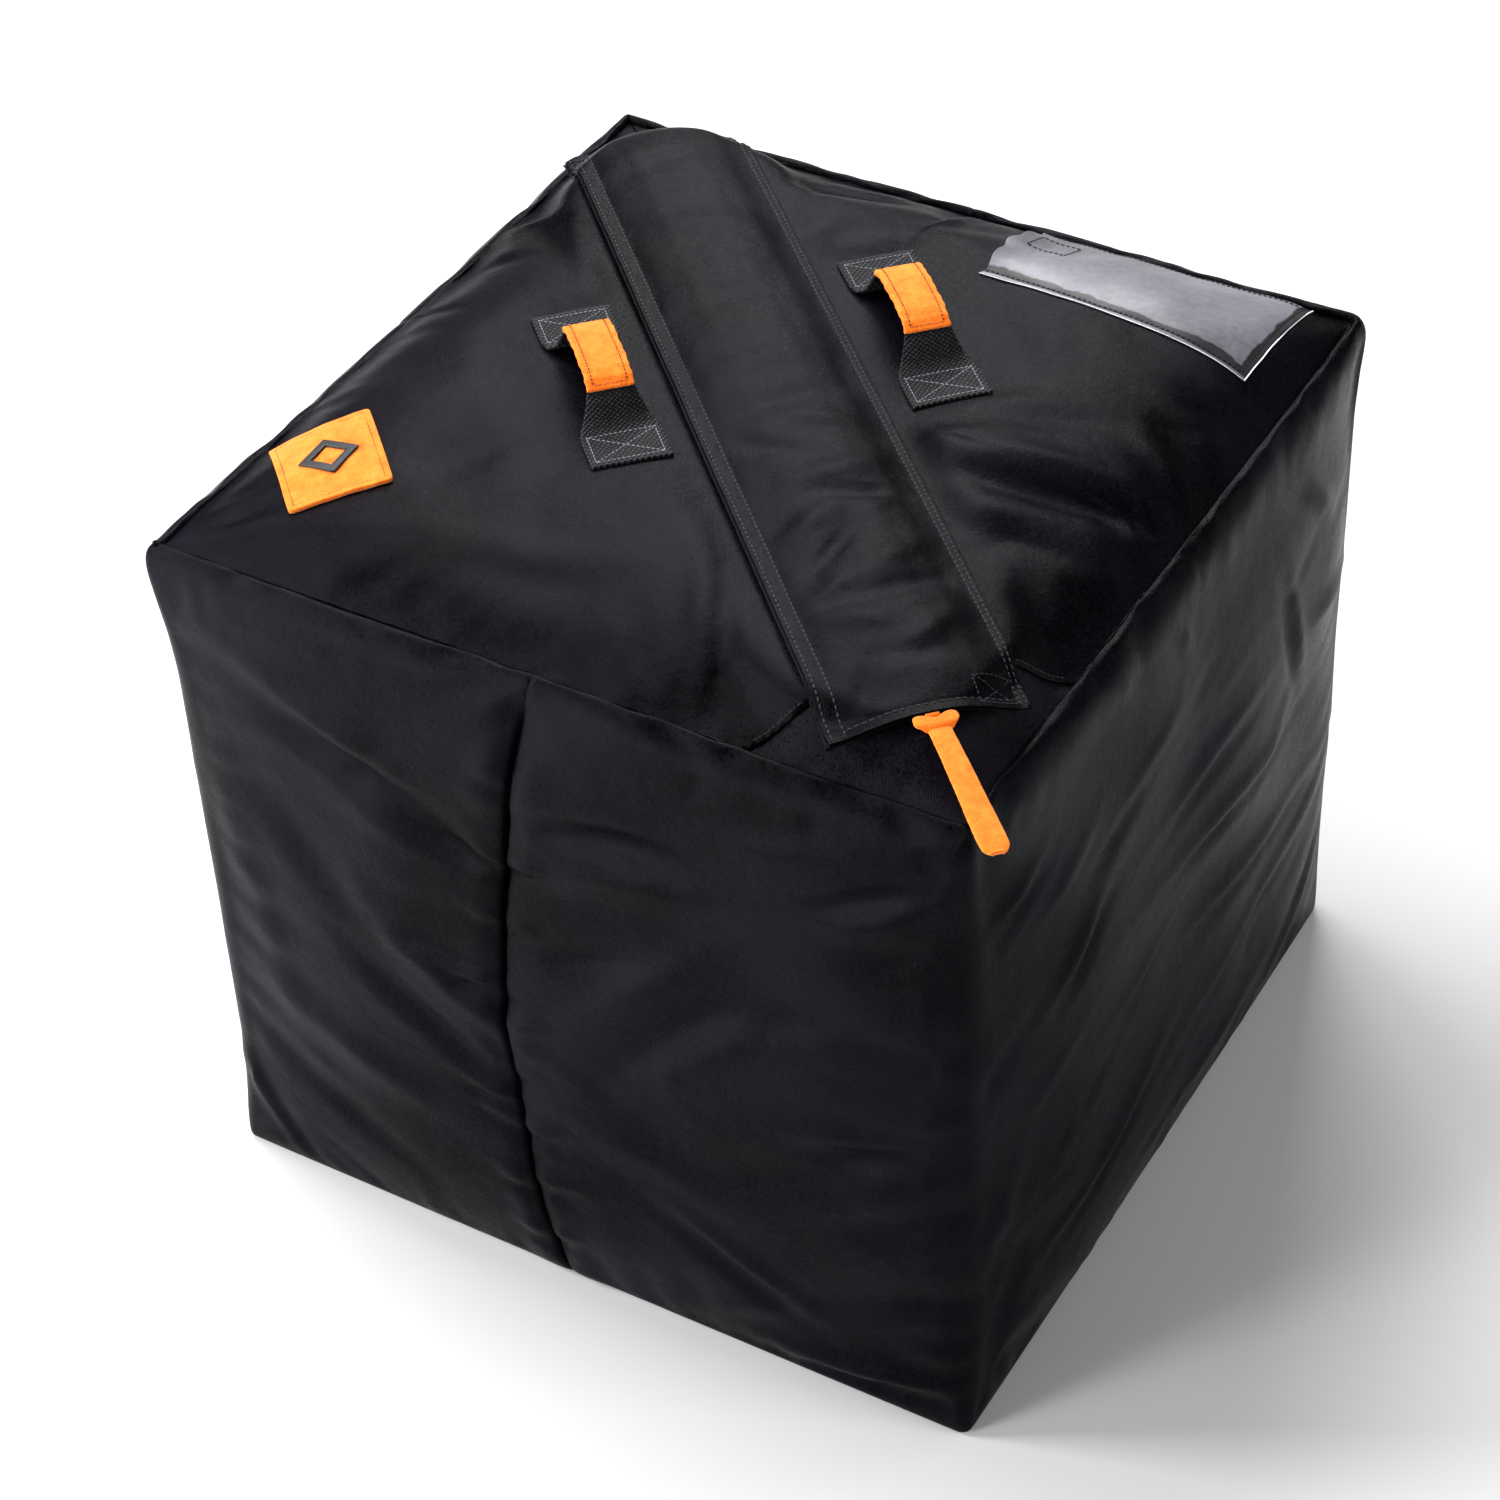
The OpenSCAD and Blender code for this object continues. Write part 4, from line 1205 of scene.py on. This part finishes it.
COARSE_RUN = {"pitch": 4.3, "length": 3.1, "radius": 0.42}
LONG = (FLAP_FRONT + 4, FLAP_BACK - 4)
HEM_FRONT, HEM_BACK = FLAP_FRONT + 7.5, FLAP_BACK - 6
sewn, free, hinge_side = Stitches(), Stitches(), Stitches()
for n in (56.4, 53.2):
    sewn.add(on_flap(line((n, FLAP_FRONT + 3), (n, FLAP_BACK - 3), 140), 0.3), **COARSE_RUN)
for n in (-47, -54.5):
    free.add(on_flap(line((n, LONG[0]), (n, LONG[1]), 140), 0.3), **COARSE_RUN)
free.add(on_flap(line((-46, HEM_FRONT), (40, HEM_FRONT), 40), 0.3), **COARSE_RUN)
free.add(on_flap(line((-46, FLAP_FRONT + 3.2), (-57, FLAP_FRONT + 3.2), 6)))
free.add(on_flap(line((-54, HEM_BACK), (40, HEM_BACK), 40)))
free.add(on_flap(line((-50, FLAP_BACK - 9), (-50, FLAP_BACK - 24), 6)), pitch=1.2, length=1.6)
for run in crossed_box(30, 52, FLAP_FRONT + 4, FLAP_FRONT + 22, 8):
    hinge_side.add(on_flap(run))
hinge_side.add(on_flap(line((40, HEM_FRONT), (53, HEM_FRONT), 6), 0.3), **COARSE_RUN)
hinge_side.add(on_flap(line((40, HEM_BACK), (53, HEM_BACK), 6)))
sewn.build("flap_sewn_stitches", thread_mat, "bag")
free.build("flap_free_stitches", thread_mat, "storm_flap")
box_stitch = hinge_side.build("flap_corner_stitches", thread_mat, None)
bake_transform(box_stitch)

# topstitching beside the seam of the corner panel
seam_stitch = Stitches()
reach = 2 * LID_HALF / ROOT2 + ZIP_FRONT
for a, b in ((-reach + 4, FLAP_FREE - 3), (FLAP_EDGE + 2, reach - 4)):
    seam_stitch.add([lid_at(n, ZIP_FRONT + 3.2, 0.1) for n, _ in line((a, 0), (b, 0), 30)])
seam_stitch.build("corner_seam_stitches", thread_mat, "bag")

# ---------------------------------------------------------------- zip
ZIP_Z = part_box("zip_tape_left")[1].z / MM
COIL_PITCH, COIL_HALF_WIDTH, COIL_HALF_HEIGHT = 2.2, 1.15, 1.22
coil_front, coil_back = turned_span("zip_coil_left", 1)
for side, name in ((-1, "left"), (1, "right")):
    ds = np.arange(coil_front, coil_back, 0.55)
    ang = np.linspace(0, 2 * math.pi, 9)[:-1]
    rad = 0.86 + 0.14 * np.cos(ds * 2 * math.pi / COIL_PITCH)
    n = side * (0.95 + COIL_HALF_WIDTH) + np.outer(rad, np.cos(ang)) * COIL_HALF_WIDTH
    z = ZIP_Z + COIL_HALF_HEIGHT + np.outer(rad, np.sin(ang)) * COIL_HALF_HEIGHT
    d = np.repeat(ds[:, None], len(ang), 1) + 0.25 * np.sin(ang)[None]
    x, y = row(n, d)
    coil = grid_piece(f"zip_coil_{name}_teeth", np.stack([x, y, z], -1), coil_mat, "bag",
        wrap=True)
    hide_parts(f"zip_coil_{name}")

# ---------------------------------------------------------------- handles
HANDLE_N = 99.0                           # middle of each handle, across the zip
# The webbing's path: d, height over the lid, width
WEB = [(-44, 1.1, 50), (-38, 1.2, 50), (-20, 1.2, 50), (-12, 1.4, 49), (-7.5, 2.4, 46), (-4.6, 5.2, 42),
    (-1.4, 10.0, 37.5), (2.2, 15.4, 33), (6.5, 20.6, 29.4), (12, 25.0, 27.4), (19, 27.3, 26.6),
    (28, 28.2, 26.4), (40, 28.5, 26.4), (52, 28.3, 26.4), (62, 27.6, 26.4), (69, 25.6, 26.8),
    (74, 21.4, 28), (77.6, 15.0, 30.6), (80.4, 8.4, 36), (82.6, 4.0, 42), (86, 1.8, 46.5),
    (92, 1.2, 49.4), (106, 1.2, 50), (120, 1.1, 50)]
GRIP_SPAN = (8.0 / 23, 16.0 / 23)         # of the webbing's points
GRIP_HALF = 14.5
GRIP_SEAM = 10.5                          # stitches, out from the middle of the grip
GRIP_RUN = {"pitch": 2.6, "length": 1.9}


def web_at(t):
    """Place, height and upward normal of the webbing, and its width, at fraction t of its points."""
    p = np.array(WEB, float)
    index, near = t * (len(p) - 1), 0.35
    d, z, width = (float(np.interp(index, range(len(p)), column)) for column in p.T)
    (d1, d2), (z1, z2) = (np.interp((index - near, index + near), range(len(p)), c) for c in p.T[:2])
    length = math.hypot(d2 - d1, z2 - z1)
    return d, z, -(z2 - z1) / length, (d2 - d1) / length, width


for side, name in ((-1, "left"), (1, "right")):
    mid_n = side * HANDLE_N
    rows, uvs = [], []
    for t in np.linspace(0, 1, 110):
        d, h, nd_, nz, width = web_at(t)
        w = width / 2
        flat_part = falloff(1.4, 8, h)
        line_pts, line_uv = [], []
        for a in np.linspace(-1, 1, 15):
            n = mid_n + a * w
            ground = lid_at(n, d).z / MM if flat_part > 0 else LID_Z
            z0 = max(ground, LID_Z - 8) * flat_part + LID_Z * (1 - flat_part)
            fold_in = -1.6 * (abs(a) ** 3) * (1 - flat_part) * (h < 24)
            x, y = row(n, d + nd_ * fold_in)
            line_pts.append((x, y, z0 + h + nz * fold_in))
            line_uv.append((a * w * MM, d * MM + h * MM))
        rows.append(line_pts)
        uvs.append(line_uv)
    web = grid_piece(f"{name}_handle_webbing", np.array(rows), webbing_mat, None,
        np.array(uvs))
    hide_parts(f"{name}_handle_ends", f"{name}_handle_loop")
    refine(web, 1, 1.9, 0.0)
    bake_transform(web)

    # suede sleeve round the loop
    rows, uvs = [], []
    around, stations = 36, 64
    for i, t in enumerate(np.linspace(*GRIP_SPAN, stations)):
        d, h, nd_, nz, _ = web_at(t)
        half_w = GRIP_HALF + 0.25 * math.sin(i * 0.9) + 0.2 * math.sin(i * 0.37 + side)
        half_t = 2.2 if 0 < i < stations - 1 else 1.6
        line_pts, line_uv = [], []
        for k in range(around):
            a = 2 * math.pi * k / around
            ca, sa = math.cos(a), math.sin(a)
            n = mid_n + half_w * math.copysign(abs(ca) ** 0.45, ca)
            off = half_t * math.copysign(abs(sa) ** 0.35, sa)
            off -= 0.35 * math.exp(-(abs(n - mid_n) - GRIP_SEAM) ** 2) * (sa > 0)
            off += 0.5 * (abs(n - mid_n) / GRIP_HALF) ** 4 * (sa > 0)
            x, y = row(n, d + nd_ * off)
            line_pts.append((x, y, LID_Z + h + nz * off))
            line_uv.append((k / around * 0.062, i * 0.0012))
        rows.append(line_pts)
        uvs.append(line_uv)
    grip = grid_piece(f"{name}_handle_suede", np.array(rows), suede_mat, f"{name}_handle",
        np.array(uvs), wrap=True)
    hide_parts(f"{name}_handle_grip")
    bm = bmesh.new()
    bm.from_mesh(grip.data)
    bmesh.ops.holes_fill(bm, edges=[e for e in bm.edges if e.is_boundary], sides=0)
    bm.to_mesh(grip.data)
    bm.free()
    refine(grip, 1)

    def on_grip(n, t, lift=2.35):
        d, h, nd_, nz, _ = web_at(t)
        return at(mid_n + n, d + nd_ * lift, LID_Z + h + nz * lift)

    dark, tan, box = Stitches(), Stitches(), Stitches()
    a0, a1 = GRIP_SPAN[0] + 0.022, GRIP_SPAN[1] - 0.022
    for n in (-GRIP_SEAM, GRIP_SEAM):
        dark.add([on_grip(n, t) for t in np.linspace(a0, a1, 40)], **GRIP_RUN)
    for t in (a0, a1):
        tan.add([on_grip(n, t) for n in np.linspace(-GRIP_SEAM, GRIP_SEAM, 8)], **GRIP_RUN)
    dark.build(f"{name}_grip_stitches", jet_thread_mat, f"{name}_handle")
    tan.build(f"{name}_grip_end_stitches", tan_thread_mat, f"{name}_handle")
    for d0, d1 in ((-40, -14), (90, 116)):
        for run in crossed_box(mid_n - 21, mid_n + 21, d0, d1):
            box.add([lid_at(n, d, 2.3) for n, d in run])
    box.build(f"{name}_webbing_stitches", grey_thread_mat, "bag")

# ---------------------------------------------------------------- suede patch and emblem
patch_n, patch_d = sum(PATCH_N) / 2, sum(PATCH_D) / 2
half_n, half_d = (PATCH_N[1] - PATCH_N[0]) / 2, (PATCH_D[1] - PATCH_D[0]) / 2


def rounded(u, v, hu, hv, r):
    """Pulls the corners of a rectangular grid in to a radius."""
    cu, cv = hu - r, hv - r
    ou, ov = abs(u) - cu, abs(v) - cv
    if ou > 0 and ov > 0:
        far = math.hypot(ou, ov)
        m = max(ou, ov)
        u = math.copysign(cu + ou * m / far, u)
        v = math.copysign(cv + ov * m / far, v)
    return u, v


def patch_point(u, v, lift):
    return lid_at(patch_n + u, patch_d + v, lift)


PATCH_TOP = 2.9                           # over the lid's cloth
PATCH_SEAM = 4.0                          # stitches, in from the edge
PATCH_RUN = {"pitch": 2.5, "length": 1.8}
us = lines_between(-half_n, half_n, 2.4, (-half_n + 1, half_n - 1))
vs = lines_between(-half_d, half_d, 2.4, (-half_d + 1, half_d - 1))
grid = []
for v in vs:
    rows = []
    for u in us:
        ru, rv = rounded(u, v, half_n, half_d, 3.0)
        edge = min(half_n - abs(u), half_d - abs(v))
        puff = PATCH_TOP - 0.35 * math.exp(-((edge - PATCH_SEAM) / 1.1) ** 2)
        puff += 0.15 * math.sin(u * 0.31 + v * 0.17)
        rows.append(tuple(patch_point(ru, rv, puff) / MM))
    grid.append(rows)
patch = grid_piece("patch_suede", np.array(grid), suede_mat, "bag",
    np.array([[(u * MM, v * MM) for u in us] for v in vs]))
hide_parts("suede_patch")
refine(patch, 1, 2.7)
black_run, tan_run = Stitches(), Stitches()
seam_n, seam_d = half_n - PATCH_SEAM, half_d - PATCH_SEAM
for end in (-1, 1):
    for stitches, a, b in ((black_run, (end * seam_n, -seam_d), (end * seam_n, seam_d)),
            (tan_run, (-seam_n, end * seam_d), (seam_n, end * seam_d))):
        stitches.add([patch_point(u, v, PATCH_TOP - 0.15) for u, v in line(a, b, 29)], **PATCH_RUN)
black_run.build("patch_side_stitches", jet_thread_mat, "bag")
tan_run.build("patch_end_stitches", tan_thread_mat, "bag")
ring_rows = []
for size in (13.0, 12.6, 12.0, 9.0, 8.4, 8.0):         # a square standing on its corner
    height = PATCH_TOP + (0.2 if size in (13.0, 8.0) else 0.75)
    tips = [(1, 0), (0, 1), (-1, 0), (0, -1), (1, 0)]
    ring = [point for a, b in zip(tips, tips[1:]) for point in line(a, b, 10)[:-1]]
    ring_rows.append([tuple(patch_point(size * ROOT2 * u, size * ROOT2 * v, height) / MM) for u, v in ring])
emblem = grid_piece("patch_emblem_ring", np.array(ring_rows)[::-1], emblem_mat, "bag",
    wrap=True)
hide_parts("patch_emblem")
refine(emblem, 0, 0.8)

# ---------------------------------------------------------------- document window
win_low, win_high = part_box("document_window")
wx0, wy0 = win_low.x / MM, win_low.y / MM
WIN_WIDTH, WIN_DEPTH = win_high.x / MM - wx0, LID_HALF - 2.0 - wy0


def window_point(u, v, lift):
    """u from the open left end, v from the front edge, in mm."""
    skew = (8.0 - 12.0 * u / WIN_WIDTH) * (1 - v / WIN_DEPTH)
    n, d = turned(wx0 + u + 5.0 * (1 - u / WIN_WIDTH) - 1.0, wy0 + v + skew)
    return lid_at(n, d, lift)


def film_lift(u, v):
    """Height of the film over the lid: sewn down at its front and right, curling at its open end."""
    sewn_edge = min(v, WIN_WIDTH - u)
    lift = 1.1 + 1.3 * smoothstep(3, 18, sewn_edge) - 0.4 * math.exp(-((sewn_edge - 4.5) / 1.4) ** 2)
    curl = math.exp(-u / 9.0)
    lift += curl * (2.2 + 1.6 * math.sin(v / 9.0) + 0.8 * math.sin(v / 3.7)) * smoothstep(4, 20, v)
    return lift + 0.35 * math.sin(u / 17.0 + v / 23.0) + 0.25 * math.sin(u / 7.0 - v / 11.0)


def film_line(points):
    return [window_point(u, v, film_lift(u, v) + 0.25) for u, v in points]


us = lines_between(0, WIN_WIDTH, 4.0, (1, 2.5, 8, WIN_WIDTH - 1, WIN_WIDTH - 2.5))
vs = lines_between(0, WIN_DEPTH, 4.0, (1, 2.5, 5, 7))
grid, uvs = [], []
for v in vs:
    rows, urow = [], []
    for u in us:
        wander = math.exp(-u / 9.0) * (2.0 * math.sin(v / 11.0) + 1.2 * math.sin(v / 4.3))
        rows.append(tuple(window_point(u + wander, v, film_lift(u, v)) / MM))
        urow.append((u * MM, v * MM))
    grid.append(rows)
    uvs.append(urow)
film = grid_piece("window_film", np.array(grid), film_mat, "bag", np.array(uvs))
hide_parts("document_window")
refine(film, 1, 0.6)
FILM_RUN = {"pitch": 3.6, "length": 2.7, "radius": 0.42}
near, far, far_v = 4.5, WIN_WIDTH - 4.5, WIN_DEPTH - 4
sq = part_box("window_hook_square")
q0, q1 = sq[0].x / MM - wx0, sq[1].x / MM - wx0
r0, r1 = sq[0].y / MM - wy0, sq[1].y / MM - wy0
edge = Stitches()
for a, b, count in (((2, near), (far, near), 60), ((far, near), (far, far_v), 40),
        ((far, far_v), (6, far_v), 60), ((q0, r0), (q1, r0), 12), ((q1, r0), (q1, r1), 12),
        ((q1, r1), (q0, r1), 12), ((q0, r1), (q0, r0), 12)):
    edge.add(film_line(line(a, b, count)), **FILM_RUN)
edge.build("window_stitches", jet_thread_mat, "bag")
# white cut edge of the film, along its front and its right end
rim_line = line((0, 0), (WIN_WIDTH, 0), 69) + line((WIN_WIDTH, 0), (WIN_WIDTH, WIN_DEPTH), 39)[1:]
rim_rows = []
for u, v in rim_line:
    c = window_point(u, v, 0.85) / MM
    rim_rows.append([tuple(c + Vector((math.cos(a) * 0.55, -math.cos(a) * 0.1, math.sin(a) * 0.5)))
        for a in np.linspace(0, 2 * math.pi, 7)[:-1]])
grid_piece("window_cut_edge", np.array(rim_rows), film_edge_mat, "bag", wrap=True)
for square_node, lift, material in (("window_hook_square", 1.75, hook_mat),
        ("window_loop_square", 0.95, loop_mat)):
    g = [[tuple(window_point(u, v, lift) / MM) for u in np.linspace(q0, q1, 12)]
        for v in np.linspace(r0, r1, 12)]
    square_uv = np.array([[(u * MM, v * MM) for u in range(12)] for v in range(12)]) * 2.3
    sq_piece = grid_piece(square_node + "_tape", np.array(g), material, "bag", square_uv)
    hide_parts(square_node)
    refine(sq_piece, 0, 0.8)

# ---------------------------------------------------------------- suede puller
PULL_D = FLAP_FRONT - 5.0                # axis of the bar at the pull tab's end
PULL_Z = (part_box("suede_puller")[0].z + 2.5 * MM) / MM
tip_d = turned_span("suede_puller", 1)[0]
HEAD_D = PULL_D - 2.6                     # back edge of the strap's folded head
TIP_RADIUS = 7.5
length = HEAD_D - tip_d
# half width of the strap at distances from its head
stations = [(0.0, 9.8), (0.6, 11.6), (1.8, 12.3), (3.6, 12.5), (5.4, 12.2), (7.0, 11.0), (8.4, 8.2),
    (9.6, 6.3), (12, 5.8), (20, 5.9), (40, 6.2), (60, 6.6), (80, 7.1), (90, 7.4), (98, TIP_RADIUS)]
for k in range(1, 7):
    a = k / 6 * math.pi / 2
    stations.append((length - TIP_RADIUS + TIP_RADIUS * math.sin(a), max(TIP_RADIUS * math.cos(a), 3.2)))
s_key = np.array([s for s, _ in stations])
w_key = np.array([w for _, w in stations])
s_rows = np.unique(np.concatenate([np.arange(0, 12, 0.6), np.arange(12, length - 8, 2.2), s_key[-7:]]))
rows, uvs = [], []
pr = np.random.default_rng(77)
for s in s_rows:
    w = float(np.interp(s, s_key, w_key)) + pr.uniform(-0.18, 0.18) * (s < length - 9)
    line_pts, line_uv = [], []
    for a in np.linspace(-1, 1, 15):
        n = a * w
        d = HEAD_D - s - 3.4 * math.exp(-(n / 4.2) ** 2) * falloff(0, 7, s)
        head = falloff(7, 10, s)
        z = PULL_Z + 0.6 + 1.9 * head - 0.35 * math.exp(-((s - 9.4) / 0.8) ** 2)
        z += 0.5 * math.sin(s / 17.0) * smoothstep(10, 40, s) - 1.2 * smoothstep(60, 115, s)
        z -= 0.7 * abs(a) ** 5
        x, y = row(n, d)
        line_pts.append((x, y, z))
        line_uv.append((n * MM, s * MM))
    rows.append(line_pts)
    uvs.append(line_uv)
puller = grid_piece("puller_suede", np.array(rows), suede_mat, "puller", np.array(uvs))
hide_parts("suede_puller")
refine(puller, 1, 2.2)
turns = 2 * math.pi * np.arange(20) / 20               # round the tab's bar
n, turns = np.meshgrid(np.linspace(-4, 4, 7), turns, indexing="ij")
x, y = row(n, PULL_D + 2.1 * np.cos(turns))
ring = grid_piece("puller_loop", np.stack([x, y, PULL_Z + 2.1 * np.sin(turns)], -1), suede_mat, "puller",
    wrap=True)
refine(ring, 0, 0.8, 0.0)

# ---------------------------------------------------------------- stage
bpy.ops.mesh.primitive_plane_add(size=30, location=(0, 0, -0.0002))
floor = bpy.context.object
floor.name = "floor"
floor.data.materials.append(Shader("floor_paint", (0.60, 0.60, 0.605), 0.8, specular=0.05).mat)

world = bpy.data.worlds.new("studio")
bpy.context.scene.world = world
world.use_nodes = True
background = world.node_tree.nodes["Background"]
background.inputs["Color"].default_value = (1.0, 1.0, 1.0, 1)
background.inputs["Strength"].default_value = 0.18
view = bpy.context.scene.view_settings
view.view_transform, view.look, view.exposure = "Standard", "Medium High Contrast", 0.2


def softbox(name, location, target, size, power):
    """Square area light of that size in metres and power in watts."""
    data = bpy.data.lights.new(name, "AREA")
    data.shape = "SQUARE"
    data.size = size
    data.energy = power
    ob = bpy.data.objects.new(name, data)
    bpy.context.scene.collection.objects.link(ob)
    ob.location = location
    ob.rotation_euler = (Vector(target) - Vector(location)).to_track_quat("-Z", "Y").to_euler()


softbox("back", (-1.4, 2.8, 2.7), (0, 0, 0.45), 1.6, 80)
softbox("key", (-2.9, -1.5, 2.1), (0, 0, 0.3), 0.9, 100)
softbox("overhead", (-1.4, 0.5, 3.1), (0, 0, 0.3), 1.8, 84)
softbox("right", (3.0, 0.3, 1.3), (0, 0, 0.25), 1.2, 36)
softbox("low", (-1.7, -3.1, 0.75), (0, 0, 0.25), 0.7, 56)
softbox("floor_left", (-1.0, -1.95, 0.8), (-1.0, -1.96, 0), 0.9, 60)
softbox("floor_right", (1.75, 1.75, 0.8), (1.75, 1.76, 0), 0.9, 22)

# ---------------------------------------------------------------- camera
AZIMUTH, ELEVATION, ROLL = math.radians(31.609), math.radians(40.784), math.radians(-2.674)
FOCAL = 89.5
WIDTH = 2 * HALF * MM
DISTANCE, SHIFT_RIGHT, SHIFT_UP = 4.428 * WIDTH, -0.045 * WIDTH, -0.010 * WIDTH
ca, sa, ce, se = math.cos(AZIMUTH), math.sin(AZIMUTH), math.cos(ELEVATION), math.sin(ELEVATION)
back = Vector((sa * ce, -ca * ce, se))
right = (-back).cross(TOP).normalized()
up = right.cross(-back)
cam_right = right * math.cos(ROLL) + up * math.sin(ROLL)
cam_up = up * math.cos(ROLL) - right * math.sin(ROLL)
camera_data = bpy.data.cameras.new("camera")
camera_data.lens = FOCAL
camera_data.sensor_width = 36
camera = bpy.data.objects.new("camera", camera_data)
bpy.context.scene.collection.objects.link(camera)
spot = Vector((0, 0, EDGE_Z * MM / 2)) + back * DISTANCE + cam_right * SHIFT_RIGHT + cam_up * SHIFT_UP
camera.matrix_world = Matrix((
    (cam_right.x, cam_up.x, back.x, spot.x),
    (cam_right.y, cam_up.y, back.y, spot.y),
    (cam_right.z, cam_up.z, back.z, spot.z),
    (0, 0, 0, 1)))
bpy.context.scene.camera = camera
